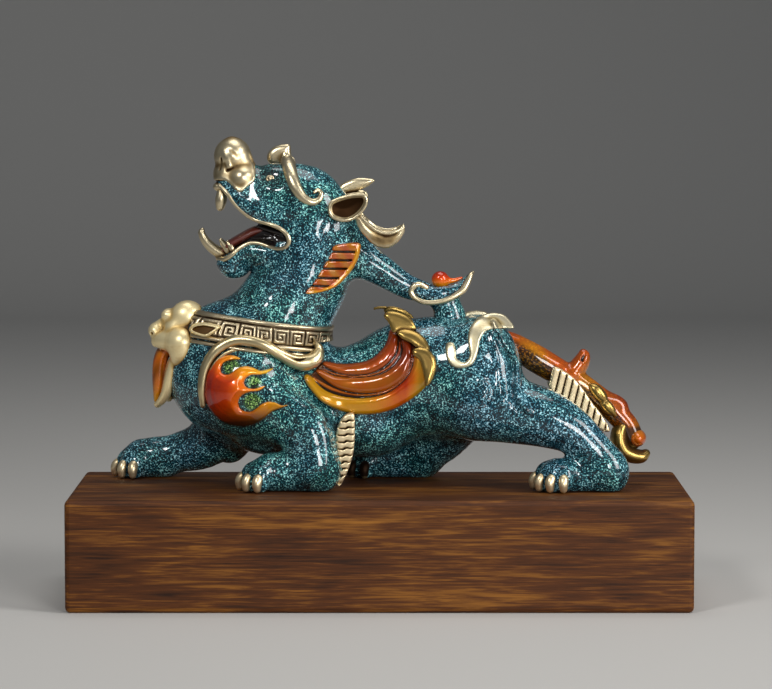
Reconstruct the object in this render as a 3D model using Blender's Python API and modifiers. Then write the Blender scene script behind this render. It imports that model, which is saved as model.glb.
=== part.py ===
"""A cast-bronze pixiu striding on a wooden plinth.

Metres, +Z up. The origin is the middle of the plinth's underside, the beast looks to -X and its far
side is +Y. The casting is one solid: its limbs, curls and plates are drawn as tapered tubes and balls,
in millimetres along, off the beast's own median plane and above the plinth, and fused into one skin.
"""

import math

import bmesh
import bpy
from mathutils import Matrix, Vector

MM = 0.001

PLINTH_LENGTH = 0.272
PLINTH_DEPTH = 0.110
PLINTH_HEIGHT = 0.049
PLINTH_EDGE = 0.0022

MEDIAN_Y = 0.008  # the beast stands a little behind the plinth's middle line
SOLE_GAP = 0.0003
SKIN_GRID = 0.00125  # grid on which tubes and balls fuse into the casting's skin
SKIN_TRIANGLES = 9000
SIDES = (-1, 1)  # near and far side of a paired ornament

# Body and limbs: x, y, z and radius of each station.
TRUNK = (
    (-74, 0, 51, 19),
    (-56, 0, 47, 23),
    (-35, 0, 42, 22),
    (-16, 0, 38.5, 23),
    (0, 0, 41, 26),
    (14, 0, 47, 27.5),
    (32, 0, 47, 28.5),
    (49, 0, 48, 26.5),
)
NECK = (
    (-61, 0, 54, 23),
    (-49, 0, 68, 24),
    (-39, 0, 82, 22.5),
    (-33.5, 0, 93, 20.5),
    (-29, 0, 105, 19),
    (-28, 0, 116, 16.5),
)
BREAST = ((-70, 0, 63, 20), (-71, 0, 45, 21))
NEAR_FORELEG = ((-58, -16, 42, 17), (-44, -20, 34, 14.5), (-32, -25, 24, 12.5), (-29, -27, 12, 11))
NEAR_FOREPAW = ((-28, -27, 10, 10.5), (-40, -27, 8.5, 9.5), (-52, -27, 6, 8))
FAR_FORELEG = ((-63, 15, 36, 15), (-75, 20, 22, 12.5), (-87, 24, 12, 10), (-98, 26, 8, 8))
FAR_FOREPAW = ((-98, 26, 7, 8), (-109, 26, 8.5, 9.5), (-113, 26, 6, 8))
HAUNCH = ((40, 0, 50, 26), (47, -13, 47, 20))
NEAR_HINDLEG = ((52, -18, 38, 18), (73, -22, 33, 13), (86, -25, 27, 11.5), (97, -27, 18, 11), (100, -27, 11, 10.5))
NEAR_HINDPAW = ((99, -27, 9, 10), (86, -27, 7.5, 9), (78, -27, 6, 8))
FAR_HINDLEG = ((34, 15, 34, 18), (27, 20, 20, 13.5), (20, 25, 11, 10.5))
FAR_HINDPAW = ((18, 25, 10, 10), (4, 26, 8, 8.5), (-5, 26, 6, 7))
TAIL = ((50, 0, 61, 8), (65, 0, 58.5, 7), (79, 0, 50, 8), (92, 0, 39, 7), (104, 0, 26, 6.5))
TAIL_CURL = ((103, 0, 24, 5), (106, 0, 15, 4.5), (113, 0, 12, 4.5), (117, 0, 18, 5))
TAIL_KNOB = ((80, 0, 52, 4), (87, 0, 57, 3.5), (92, 0, 56, 3), (92, 0, 51.5, 2.2))

# Head, thrown up with its jaws open.
CRANIUM = ((-30, 0, 122, 15), (-36, 0, 128, 14.5), (-44, 0, 130, 12.5))
SNOUT = ((-44, 0, 129, 12.5), (-54, 0, 134, 10.5), (-63, 0, 140, 8.5))
NOSE = ((-62, 0, 138, 8.5), (-65, 0, 146.3, 8.4))
LOWER_JAW = ((-36, 0, 103, 10), (-48, 0, 105, 7), (-57, 0, 103, 5.5), (-65, 0, 98.5, 6))
TONGUE = ((-50, 0, 109, 5), (-62, 0, 106, 4), (-70, 0, 103, 3.2), (-77, 0, 105, 2.4), (-81, 0, 113, 1.7))
UPPER_LIP = ((-72, 5, 133, 1.8), (-68, 8, 129, 2), (-59, 10, 122, 2.2), (-50, 13, 117, 2.2), (-40, 15, 112, 2))
LOWER_LIP = ((-40, 15, 112, 2), (-42, 14, 107, 2.2), (-51, 11, 108, 2.2), (-60, 9, 104.5, 2.2), (-70, 3, 100, 2))
FANG = ((-70.5, 5, 133, 2.4), (-71, 5, 125, 1.6))
EYE = (-47, 9, 136, 5)
BROW = ((-41, 9, 143, 2.4), (-39, 13, 136, 3), (-34, 15, 129, 2.6), (-28, 15, 127, 2.2), (-27, 14, 131, 1.8))
FAR_BROW_TIP = ((-52, 8, 142, 2), (-46, 9, 147, 3.2), (-41, 9, 150, 2))
EAR = ((-17, 15, 124, 5.5), (-13, 18, 127, 5), (-6, 20, 131, 2))
CHEEK_TUFT = ((-12, 12, 121, 4), (-2, 14, 115, 6), (8, 14, 112.5, 3))
GILL_COMB = ((-14, 14, 106, 3), (-17, 17, 98, 4), (-22, 19, 92, 3.5), (-30, 21, 88, 2))
HORN = ((-22, 0, 114, 11), (-8, 0, 102, 8.5), (5, 0, 92, 6), (17, 0, 85, 5), (28, 0, 82, 6))
HORN_CUP = ((17, 5, 85, 2), (24, 6, 82, 2), (34, 5, 84, 2), (40, 2, 89, 1.8), (42, 0, 93, 1.5))
HORN_FOOT = ((31, 0, 83, 7), (33, 0, 72, 8))
BEAD = (27, 0, 88, 5.5)

# Applied ornament, cast with the body. Paired pieces give y for the far side.
COLLAR_STATIONS = 28
COLLAR_MIDDLE = (-49, 0, 68.5)
COLLAR_HALF_AXES = (29.5, 26)
COLLAR_THICK = 4.2
COLLAR_DROP = 3.0  # the back of the collar hangs this far below its front
MASK_FOREHEAD = (-86, 0, 73, 9.5)
MASK_MUZZLE = ((-92, 0, 69, 7), (-97, 0, 67, 6.5))
MASK_CHEEKS = ((-88, 8, 65, 7.5), (-88, 5, 57, 6))
MASK_EAR = ((-82, 13, 74, 3.5), (-75, 17, 74, 3.5))
MASK_TASSEL = ((-98, 0, 61, 5), (-98, 0, 49, 5), (-96, 0, 38, 4))
FLAME = (-61, 24, 45, 14)
FLAME_TONGUES = ((0.15, 17), (0.75, 12), (-0.15, 12), (-0.45, 22))
SCROLL_BAND = (
    (-77, 23, 38, 2.2),
    (-78, 24, 50, 2.2),
    (-71, 26, 61, 2.6),
    (-59, 27, 66, 2.8),
    (-47, 27, 64, 2.8),
    (-38, 25, 57, 3),
    (-31, 24, 54, 3),
    (-27, 24, 59, 2.6),
    (-28, 23, 65, 1.8),
)
WING_LOW = ((-30, 22, 50, 2), (-21, 24, 42, 3.6), (-8, 26, 37, 4.2), (8, 27, 39, 4.6), (20, 28, 47, 4.6), (17, 27, 60, 3))
WING_MID = ((-26, 22, 52, 2), (-12, 24, 46, 3.6), (1, 25, 48, 4), (12, 27, 55, 4), (12, 25, 65, 2.6))
WING_TOP = ((-23, 20, 55, 2), (-12, 22, 54, 3), (-2, 22, 58, 3.2), (6, 22, 65, 3), (5, 20, 73, 2.2), (-3, 19, 78, 1.5))
RUMP_SCROLL = (
    (30, 20, 64, 1.8),
    (31, 22, 57, 2),
    (40, 23, 57, 2),
    (42, 21, 66, 2.4),
    (47, 18, 73.5, 3.2),
    (57, 14, 73, 2),
)
LEG_FIN = ((-15, -25, 32, 3.5), (-14.5, -26, 24, 4.2), (-16, -27, 14, 4), (-18, -27, 5, 4))
TAIL_FIN = ((78, -5, 48, 4), (87, -6, 39, 4.5), (96, -6, 32, 4), (101, -6, 25, 3))
CLAW_RADIUS = 2.4
CLAW_REACH = 5.5
PAW_TIPS = ((-56, -27, 4), (-114, 26, 4), (76, -27, 4), (-8, 26, 4))  # where each paw's claws spring


def clear_scene():
    for thing in list(bpy.data.objects):
        bpy.data.objects.remove(thing)


def new_collection(name):
    collection = bpy.data.collections.new(name)
    bpy.context.scene.collection.children.link(collection)
    return collection


def move_to(thing, collection):
    for holder in thing.users_collection:
        holder.objects.unlink(thing)
    collection.objects.link(thing)


def new_material(name, colour, roughness, metallic):
    material = bpy.data.materials.new(name)
    material.use_nodes = True
    shader = material.node_tree.nodes["Principled BSDF"]
    shader.inputs["Base Color"].default_value = (*colour, 1)
    shader.inputs["Roughness"].default_value = roughness
    shader.inputs["Metallic"].default_value = metallic
    material.diffuse_color = (*colour, 1)
    return material


def placed(x, y, z):
    """A point in metres, from millimetres along, off the median plane and above the plinth."""
    return Vector((x * MM, y * MM + MEDIAN_Y, z * MM + PLINTH_HEIGHT))


def mirrored(stations, side):
    return tuple((x, y * side, z, radius) for x, y, z, radius in stations)


def add_ball(skin, x, y, z, radius, stretch=(1, 1, 1)):
    size = Matrix.Diagonal((*(radius * MM * s for s in stretch), 1))
    ball = bmesh.new()
    matrix = Matrix.Translation(placed(x, y, z)) @ size
    bmesh.ops.create_uvsphere(ball, u_segments=20, v_segments=12, radius=1, matrix=matrix)
    mesh = bpy.data.meshes.new("ball")
    ball.to_mesh(mesh)
    ball.free()
    skin.from_mesh(mesh)
    bpy.data.meshes.remove(mesh)


def add_tube(skin, stations):
    """A tapered tube that passes through the stations, with a ball at each end."""
    curve = bpy.data.curves.new("tube", "CURVE")
    curve.dimensions = "3D"
    curve.bevel_depth = MM
    curve.bevel_resolution = 4
    curve.resolution_u = 8
    curve.use_fill_caps = True
    spline = curve.splines.new("BEZIER")
    spline.bezier_points.add(len(stations) - 1)
    spline.radius_interpolation = "CARDINAL"
    for point, (x, y, z, radius) in zip(spline.bezier_points, stations):
        point.co = placed(x, y, z)
        point.radius = radius
        point.handle_left_type = "AUTO"
        point.handle_right_type = "AUTO"
    tube = bpy.data.objects.new("tube", curve)
    bpy.context.scene.collection.objects.link(tube)
    graph = bpy.context.evaluated_depsgraph_get()
    mesh = bpy.data.meshes.new_from_object(tube.evaluated_get(graph))
    skin.from_mesh(mesh)
    bpy.data.objects.remove(tube)
    bpy.data.curves.remove(curve)
    bpy.data.meshes.remove(mesh)
    for x, y, z, radius in (stations[0], stations[-1]):
        add_ball(skin, x, y, z, radius)


def add_limbs(skin):
    limbs = (TRUNK, NECK, BREAST, HAUNCH, NEAR_FORELEG, NEAR_FOREPAW, FAR_FORELEG, FAR_FOREPAW)
    for stations in limbs + (NEAR_HINDLEG, NEAR_HINDPAW, FAR_HINDLEG, FAR_HINDPAW):
        add_tube(skin, stations)
    for stations in (TAIL, TAIL_CURL, TAIL_KNOB):
        add_tube(skin, stations)


def add_claws(skin):
    for x, y, z in PAW_TIPS:
        for spread in (-7, 0, 7):
            forward = CLAW_REACH - abs(spread) * 0.25
            root = (x, y + spread * 0.8, z + 1, CLAW_RADIUS + 1)
            add_tube(skin, (root, (x - forward, y + spread, z - 2, CLAW_RADIUS)))


def add_head(skin):
    for stations in (CRANIUM, SNOUT, NOSE, LOWER_JAW, TONGUE, HORN, HORN_FOOT):
        add_tube(skin, stations)
    for side in SIDES:
        for stations in (UPPER_LIP, LOWER_LIP, FANG, BROW, EAR, CHEEK_TUFT, GILL_COMB, HORN_CUP):
            add_tube(skin, mirrored(stations, side))
        x, y, z, radius = EYE
        add_ball(skin, x, y * side, z, radius)
    add_tube(skin, FAR_BROW_TIP)
    add_ball(skin, *BEAD)


def add_collar(skin):
    """A flat band round the root of the neck, leaning back with it."""
    x, y, z = COLLAR_MIDDLE
    half_length, half_width = COLLAR_HALF_AXES
    ring = []
    for i in range(COLLAR_STATIONS + 1):
        turn = 2 * math.pi * i / COLLAR_STATIONS
        drop = COLLAR_DROP * math.cos(turn)
        ring.append((x + half_length * math.cos(turn), y + half_width * math.sin(turn), z - drop, COLLAR_THICK))
    add_tube(skin, ring)


def add_mask(skin):
    """The lion mask on the breast, with the tassel that hangs from its jaws."""
    add_ball(skin, *MASK_FOREHEAD, stretch=(0.9, 1.35, 0.9))
    add_tube(skin, MASK_MUZZLE)
    add_tube(skin, MASK_TASSEL)
    for side in SIDES:
        for x, y, z, radius in MASK_CHEEKS:
            add_ball(skin, x, y * side, z, radius)
        add_tube(skin, mirrored(MASK_EAR, side))


def add_shoulder_flame(skin, side):
    x, y, z, radius = FLAME
    add_ball(skin, x, y * side, z, radius, stretch=(1, 0.3, 1))
    for slope, reach in FLAME_TONGUES:
        direction = Vector((math.cos(slope), math.sin(slope)))
        root = (x + direction.x * radius * 0.7, y * side, z + direction.y * radius * 0.7, 4)
        tip = (x + direction.x * (radius + reach), (y - 4) * side, z + direction.y * (radius + reach), 1.6)
        add_tube(skin, (root, tip))


def add_side_ornament(skin):
    for side in SIDES:
        add_shoulder_flame(skin, side)
        for stations in (SCROLL_BAND, WING_LOW, WING_MID, WING_TOP, RUMP_SCROLL):
            add_tube(skin, mirrored(stations, side))
    add_tube(skin, LEG_FIN)
    add_tube(skin, TAIL_FIN)


def fuse(name, skin, collection):
    """One object from overlapping shapes: fused on a grid, relaxed, then thinned to few triangles."""
    mesh = bpy.data.meshes.new(name)
    skin.to_mesh(mesh)
    skin.free()
    casting = bpy.data.objects.new(name, mesh)
    collection.objects.link(casting)
    remesh = casting.modifiers.new("Fuse", "REMESH")
    remesh.mode = "VOXEL"
    remesh.voxel_size = SKIN_GRID
    relax = casting.modifiers.new("Relax", "SMOOTH")
    relax.factor = 0.5
    relax.iterations = 2
    graph = bpy.context.evaluated_depsgraph_get()
    fused = bpy.data.meshes.new_from_object(casting.evaluated_get(graph))
    triangles = sum(len(face.vertices) - 2 for face in fused.polygons)
    casting.modifiers.clear()
    casting.data = fused
    bpy.data.meshes.remove(mesh)
    thin = casting.modifiers.new("Thin", "DECIMATE")
    thin.ratio = SKIN_TRIANGLES / triangles
    return casting


def cut_soles(casting, cutters):
    """The soles end flat, a hair above the plinth."""
    height = PLINTH_HEIGHT + SOLE_GAP
    bpy.ops.mesh.primitive_cube_add(size=1, location=(0, 0, height - 0.05), scale=(0.4, 0.3, 0.1))
    cutter = bpy.context.object
    cutter.name = "sole_cutter"
    bpy.ops.object.transform_apply(location=False, rotation=False, scale=True)
    cutter.display_type = "WIRE"
    cutter.hide_render = True
    move_to(cutter, cutters)
    cut = casting.modifiers.new("Soles", "BOOLEAN")
    cut.operation = "DIFFERENCE"
    cut.object = cutter


def build_figure(parts, cutters):
    skin = bmesh.new()
    add_limbs(skin)
    add_claws(skin)
    add_head(skin)
    add_collar(skin)
    add_mask(skin)
    add_side_ornament(skin)
    figure = fuse("pixiu_figure", skin, parts)
    cut_soles(figure, cutters)
    figure.data.materials.clear()
    figure.data.materials.append(new_material("enamelled_bronze", (0.02, 0.11, 0.11), 0.2, 0.3))
    return figure


def build_plinth(parts):
    size = (PLINTH_LENGTH, PLINTH_DEPTH, PLINTH_HEIGHT)
    bpy.ops.mesh.primitive_cube_add(size=1, location=(0, 0, PLINTH_HEIGHT / 2), scale=size)
    plinth = bpy.context.object
    plinth.name = "plinth"
    bpy.ops.object.transform_apply(location=False, rotation=False, scale=True)
    bevel = plinth.modifiers.new("Edges", "BEVEL")
    bevel.width = PLINTH_EDGE
    bevel.segments = 3
    plinth.data.materials.append(new_material("walnut", (0.10, 0.045, 0.025), 0.35, 0.0))
    move_to(plinth, parts)
    return plinth


def main():
    clear_scene()
    parts = new_collection("bronze_pixiu_statue")
    cutters = new_collection("cutters")
    cutters.hide_render = True
    build_plinth(parts)
    build_figure(parts, cutters)


main()
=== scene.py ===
import math
import time

import bpy
import numpy as np
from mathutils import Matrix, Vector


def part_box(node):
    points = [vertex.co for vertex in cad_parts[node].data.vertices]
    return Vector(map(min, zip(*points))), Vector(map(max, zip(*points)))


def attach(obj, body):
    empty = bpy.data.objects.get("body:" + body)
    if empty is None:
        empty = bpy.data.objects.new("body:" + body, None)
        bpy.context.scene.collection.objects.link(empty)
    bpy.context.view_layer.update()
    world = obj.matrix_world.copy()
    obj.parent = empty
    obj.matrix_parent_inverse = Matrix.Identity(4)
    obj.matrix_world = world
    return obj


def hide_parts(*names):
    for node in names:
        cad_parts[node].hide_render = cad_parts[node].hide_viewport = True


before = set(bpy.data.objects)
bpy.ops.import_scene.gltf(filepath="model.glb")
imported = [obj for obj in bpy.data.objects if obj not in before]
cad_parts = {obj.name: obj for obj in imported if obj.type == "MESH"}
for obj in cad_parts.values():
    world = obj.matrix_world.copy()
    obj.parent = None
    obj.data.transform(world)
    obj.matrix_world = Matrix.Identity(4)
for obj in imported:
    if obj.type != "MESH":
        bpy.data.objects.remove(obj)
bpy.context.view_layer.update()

import openvdb
from mathutils import Vector

mm = 0.001
plinthLow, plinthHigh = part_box("plinth")
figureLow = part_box("pixiu_figure")[0]
deckTop = plinthHigh[2]  # the casting stands on this face
middleX = (plinthLow[0] + plinthHigh[0]) / 2
medianY = figureLow[1] + 37.9 * mm  # the beast's own middle plane
origin = np.array([middleX, medianY, deckTop])
near, farSide = -1, 1
sides = (near, farSide)
namedSides = (("near", near), ("far", farSide))
started = time.time()


def report(text):
    print(f"{time.time() - started:6.1f} s  {text}", flush=True)


# Clay: distances on a grid in millimetres, negative inside. A place is (x along the plinth, y off the middle
# plane, h above the plinth) and a station adds a radius; a side-view station is (x, h, half width). Near the
# camera y is negative.

outside = 12.0


def share(value, span):
    # how far a value is through a span, from 0 to 1
    return np.clip(value / span, 0, 1)


def newClay(low, high, grain, side=None):
    # an empty grid between two corners; with a side, they give distances off the middle plane
    low, high = np.array(low, float), np.array(high, float)
    if side:
        low[1], high[1] = sorted((low[1] * side, high[1] * side))
    counts = np.ceil((high - low) / grain).astype(int) + 1
    return {"low": low, "grain": grain, "field": np.full(counts, outside, np.float32)}


def windowOf(clay, low, high):
    # slices and open coordinate arrays of the part of the grid between two corners
    first = np.maximum(np.floor((np.array(low) - clay["low"]) / clay["grain"]).astype(int), 0)
    last = np.ceil((np.array(high) - clay["low"]) / clay["grain"]).astype(int) + 1
    last = np.minimum(last, clay["field"].shape)
    if (last <= first).any():
        return None, None
    axes = [(clay["low"][k] + clay["grain"] * np.arange(first[k], last[k])).astype(np.float32)
        for k in range(3)]
    return tuple(slice(a, b) for a, b in zip(first, last)), np.meshgrid(*axes, indexing="ij", sparse=True)


def allOf(clay):
    high = clay["low"] + clay["grain"] * (np.array(clay["field"].shape) - 1)
    return windowOf(clay, clay["low"], high)[1]


def union(a, b, soft):
    h = np.maximum(soft - np.abs(a - b), 0) / soft
    return np.minimum(a, b) - h * h * (soft / 4)


def shave(a, b, soft):
    return -union(-a, b, soft)


def path(stations, steps=5):
    # a smooth curve through the stations, all columns alike
    s = np.array(stations, float)
    if len(s) < 3:
        return s[0] + (s[1] - s[0]) * np.linspace(0, 1, steps + 1)[:, None]
    s = np.vstack([2 * s[0] - s[1], s, 2 * s[-1] - s[-2]])
    out = []
    for p, q, r, w in zip(s, s[1:], s[2:], s[3:]):
        for t in np.arange(steps) / steps:
            curve = (r - p) * t + (2 * p - 5 * q + 4 * r - w) * t**2 + (3 * q - p - 3 * r + w) * t**3
            out.append(q + 0.5 * curve)
    line = np.array(out + [s[-2]])
    line[:, -1] = np.maximum(line[:, -1], 0.15)
    return line


def cone(grid, a, b, press):
    # distance to one tapered span; press is a direction and how many times the span is flattened along it
    p = [g - c for g, c in zip(grid, a)]
    d = b[:3] - a[:3]
    if press is not None:
        n, factor = press
        q = (p[0] * n[0] + p[1] * n[1] + p[2] * n[2]) * (factor - 1)
        p = [p[k] + q * n[k] for k in range(3)]
        d = d + (factor - 1) * np.dot(d, n) * np.array(n)
    t = np.clip((p[0] * d[0] + p[1] * d[1] + p[2] * d[2]) / max(np.dot(d, d), 1e-6), 0, 1)
    return np.sqrt(sum((p[k] - t * d[k]) ** 2 for k in range(3))) - (a[3] + t * (b[3] - a[3]))


def lay(clay, line, presses, soft, work, reach):
    # joins the spans of a line into one shape, each with its own press, and works it into the clay
    wide = line[:, 3:4] + reach
    where, grid = windowOf(clay, (line[:, :3] - wide).min(0), (line[:, :3] + wide).max(0))
    if where is None:
        return
    part = {"low": np.array([g.flat[0] for g in grid], float), "grain": clay["grain"]}
    part["field"] = np.full([g.size for g in grid], outside, np.float32)
    for a, b, press in zip(line, line[1:], presses):
        r = max(a[3], b[3]) + reach
        inner, small = windowOf(part, np.minimum(a, b)[:3] - r, np.maximum(a, b)[:3] + r)
        if inner:
            part["field"][inner] = np.minimum(part["field"][inner], cone(small, a, b, press))
    clay["field"][where] = work(clay["field"][where], part["field"], soft)


def limb(clay, stations, soft, side=None, press=None, work=union):
    # a tapered limb, put on one side where a side is given; a station without y is on the middle plane
    rows = [row if len(row) == 4 else (row[0], 0, *row[1:]) for row in stations]
    if side:
        rows = [(x, abs(y) * side, h, r) for x, y, h, r in rows]
    line = path(rows)
    lay(clay, line, [press] * len(line), soft, work, max(6.0, soft + 1))


def ball(clay, shape, soft, side=1, tilt=0.0, work=union):
    # an ellipsoid, as centre and radii; tilt leans it in the side view, in degrees
    (cx, cy, ch), radii = shape
    centre = np.array([cx, cy * side, ch])
    reach = max(radii) + max(6.0, soft + 1)
    where, grid = windowOf(clay, centre - reach, centre + reach)
    x, y, h = [g - c for g, c in zip(grid, centre)]
    turn = math.radians(tilt)
    x, h = x * math.cos(turn) + h * math.sin(turn), h * math.cos(turn) - x * math.sin(turn)
    first, second = [
        np.sqrt((x / radii[0] ** n) ** 2 + (y / radii[1] ** n) ** 2
            + (h / radii[2] ** n) ** 2) + 1e-6 for n in (1, 2)]
    distance = (first * (first - 1) / second).astype(np.float32)
    clay["field"][where] = work(clay["field"][where], distance, soft)


def level(clay, height):
    # cuts the clay off flat below a height
    clay["field"] = np.maximum(clay["field"], (height - allOf(clay)[2]).astype(np.float32))


def smoothed(field, times):
    field = field.copy()
    for _ in range(times):
        for k in range(3):
            f = np.moveaxis(field, k, 0)
            f[1:-1] = (f[:-2] + 2 * f[1:-1] + f[2:]) / 4
    return field


def sampleAt(clay, field, points):
    # the field at free points, in straight lines between grid places
    u = np.clip((points - clay["low"]) / clay["grain"], 0, np.array(field.shape) - 1.001)
    i = u.astype(int)
    t = u - i
    value = 0
    for corner in np.ndindex(2, 2, 2):
        weight = np.prod([np.where(k, w, 1 - w) for k, w in zip(corner, t.T)], axis=0)
        value = value + weight * field[tuple((i + corner).T)]
    return value


def onto(clay, fine):
    # a clay's field read on a finer grid
    field = clay["field"]
    for k in range(3):
        u = (fine["low"][k] + fine["grain"] * np.arange(fine["field"].shape[k])
            - clay["low"][k]) / clay["grain"]
        u = np.clip(u, 0, field.shape[k] - 1.001)
        i = u.astype(int)
        t = (u - i).astype(np.float32).reshape([-1 if j == k else 1 for j in range(3)])
        field = np.take(field, i, axis=k) * (1 - t) + np.take(field, i + 1, axis=k) * t
    return field


def spanTo(x, h, a, b):
    # side-view distance to a straight span, and how far along it the nearest place is
    d = b[:2] - a[:2]
    t = np.clip(((x - a[0]) * d[0] + (h - a[1]) * d[1]) / max(np.dot(d, d), 1e-6), 0, 1)
    return np.hypot(x - a[0] - t * d[0], h - a[1] - t * d[1]), t


def stroke(x, h, stations):
    # distance in the side view to a stroke along side-view stations
    line = path(stations, 6)
    best = np.full(np.broadcast(x, h).shape, 99.0, np.float32)
    for a, b in zip(line, line[1:]):
        distance, t = spanTo(x, h, a, b)
        best = np.minimum(best, distance - a[2] - t * (b[2] - a[2]))
    return best


def outline(x, h, corners, steps=5):
    # distance in the side view to a closed smooth outline, negative inside
    n = len(corners)
    ring = path([(*corners[k % n], 1) for k in range(-1, n + 2)], steps)[steps:-steps, :2]
    best = np.full(np.broadcast(x, h).shape, 99.0, np.float32)
    inside = np.zeros(best.shape, bool)
    for a, b in zip(ring, ring[1:]):
        best = np.minimum(best, spanTo(x, h, a, b)[0])
        if a[1] != b[1]:
            inside ^= ((a[1] > h) != (b[1] > h)) & (x < a[0] + (h - a[1]) * (b[0] - a[0]) / (b[1] - a[1]))
    return np.where(inside, -best, best)


def flatOf(clay, corners):
    # an outline's distance over the whole clay, as one sheet along y
    x, _, h = allOf(clay)
    return outline(x[:, 0], h[0], corners)[:, None, :]


def emboss(clay, stations, side, rise, soft):
    # raises the skin along a stroke on one side, or sinks it where rise is negative
    line = np.array(stations, float)
    room = line[:, 2].max() + 3 * soft
    low, high = line[:, :2].min(0) - room, line[:, :2].max(0) + room
    ends = sorted((2.0 * side, 60.0 * side))
    where, grid = windowOf(clay, (low[0], ends[0], low[1]), (high[0], ends[1], high[1]))
    d = np.maximum(stroke(grid[0][:, 0], grid[2][0], stations), 0)[:, None, :]
    clay["field"][where] -= rise * np.exp(-(d / soft) ** 2)


def skinAt(clay, x, h, side):
    # where the skin is on one side, and which way it faces
    ys = side * np.arange(44, 0, -0.5)
    points = np.column_stack([np.full_like(ys, x), ys, np.full_like(ys, h)])
    values = sampleAt(clay, clay["field"], points)
    hit = np.nonzero(values <= 0)[0]
    y = ys[hit[0] if len(hit) else int(values.argmin())]
    steps = 1.5 * np.vstack([np.eye(3), -np.eye(3)])
    v = sampleAt(clay, clay["field"], np.array([x, y, h]) + steps)
    normal = v[:3] - v[3:]
    return y, normal / max(np.linalg.norm(normal), 1e-6)


def ribbon(clay, base, stations, side, lift, flat, work=union, tips=None):
    # a limb laid on the skin of another clay along side-view stations, flattened against it
    line = path(stations)
    places, normals = [], []
    for x, h, r in line:
        y, normal = skinAt(base, x, h, side)
        places.append(np.array([x, y, h]) + normal * lift)
        normals.append(normal)
    places, normals = np.array(places), np.array(normals)
    for _ in range(4):
        places[1:-1, 1] = (places[:-2, 1] + 2 * places[1:-1, 1] + places[2:, 1]) / 4
        normals[1:-1] = (normals[:-2] + 2 * normals[1:-1] + normals[2:]) / 4
    if tips is not None:  # y offsets that lift the ends off the skin
        places[:, 1] += side * np.interp(np.linspace(0, 1, len(places)), np.linspace(0, 1, len(tips)), tips)
    normals /= np.linalg.norm(normals, axis=1)[:, None]
    presses = [((m + n) / 2, flat) for m, n in zip(normals, normals[1:])]
    lay(clay, np.column_stack([places, line[:, 2]]), presses, 0.6, work, 5)


def cast(name, clay, material, slot, most, base=None, relax=1, **marks):
    # the finished piece: skin of the clay, thinned, with how worn and how painted each place is
    for k in range(3):  # closed at the edges of the grid
        f = np.moveaxis(clay["field"], k, 0)
        f[[0, -1]] = np.maximum(f[[0, -1]], 0.5)
    grid = openvdb.FloatGrid(outside)
    grid.copyFromArray(clay["field"])
    points, quads = grid.convertToQuads(0.0)
    points = points * clay["grain"] + clay["low"]
    mesh = bpy.data.meshes.new(name)
    mesh.vertices.add(len(points))
    mesh.vertices.foreach_set("co", (points * mm + origin).astype(np.float32).ravel())
    mesh.loops.add(quads.size)
    mesh.loops.foreach_set("vertex_index", quads[:, ::-1].astype(np.int32).ravel())
    mesh.polygons.add(len(quads))
    mesh.polygons.foreach_set("loop_start", np.arange(0, quads.size, 4, dtype=np.int32))
    mesh.update(calc_edges=True)
    piece = bpy.data.objects.new(name, mesh)
    bpy.context.scene.collection.objects.link(piece)
    smooth = piece.modifiers.new("relax", "SMOOTH")
    smooth.factor = 0.5
    smooth.iterations = relax
    if len(quads) * 2 > most:
        piece.modifiers.new("thin", "DECIMATE").ratio = most / (len(quads) * 2)
    graph = bpy.context.evaluated_depsgraph_get()
    done = bpy.data.meshes.new_from_object(piece.evaluated_get(graph))
    piece.modifiers.clear()
    piece.data = done
    bpy.data.meshes.remove(mesh)
    done.shade_smooth()
    places = np.empty(len(done.vertices) * 3, np.float32)
    done.vertices.foreach_get("co", places)
    places = (places.reshape(-1, 3) - origin) / mm
    hollow = sampleAt(clay, smoothed(clay["field"], 10) - clay["field"], places)
    wear = 0.5 + hollow / (1.6 * clay["grain"])
    if base is not None:  # dark wax stays where an ornament meets the skin under it
        rim = sampleAt(base, base["field"], places)
        wear = wear - 0.5 * np.exp(-np.maximum(rim, 0) / 0.7)
    for mark, shade in {"wear": lambda _: wear, **marks}.items():
        attribute = done.attributes.new(mark, "FLOAT", "POINT")
        attribute.data.foreach_set("value", np.clip(shade(places), 0, 1).astype(np.float32))
    done.materials.append(material)
    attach(piece, "root")
    return piece


def domeOf(distance, edge):
    # 1 well inside an outline, rounded down to 0 at its rim
    return np.sqrt(1 - (1 - share(-distance, edge)) ** 2)[:, None, :]


def inlay(clay, base, shape, rise, edge, stand=None, thick=1.2, least=0.0, soft=0.0, swell=None):
    # an overlay on the skin of another clay: shape is an outline or gives the side-view distance, and edge
    # rounds its rim; stand is how far off the middle plane its free part is, by height
    skin = onto(base, clay)
    x, y, h = allOf(clay)
    flat = shape(x[:, 0], h[0]) if callable(shape) else outline(x[:, 0], h[0], shape)
    dome = domeOf(flat, edge)
    top = rise * dome
    if swell is not None:  # a round swelling of the overlay: centre, reach and height
        away = ((x[:, 0] - swell[0]) ** 2 + (h[0] - swell[1]) ** 2) / swell[2] ** 2
        top = top + swell[3] * (np.clip(1 - away, 0, 1) ** 1.5 * share(-flat, 3))[:, None, :]
    laid = np.maximum(skin - top, -skin - 1.2)
    if stand is not None:
        off = np.interp(h[0, 0], *zip(*stand))[None, None, :]
        laid = union(laid, np.abs(np.abs(y) - off) - thick * dome, 1.0)
    laid = np.maximum(np.maximum(laid, flat[:, None, :]), least - np.abs(y)).astype(np.float32)
    clay["field"] = union(clay["field"], laid, soft) if soft else np.minimum(clay["field"], laid)


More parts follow.
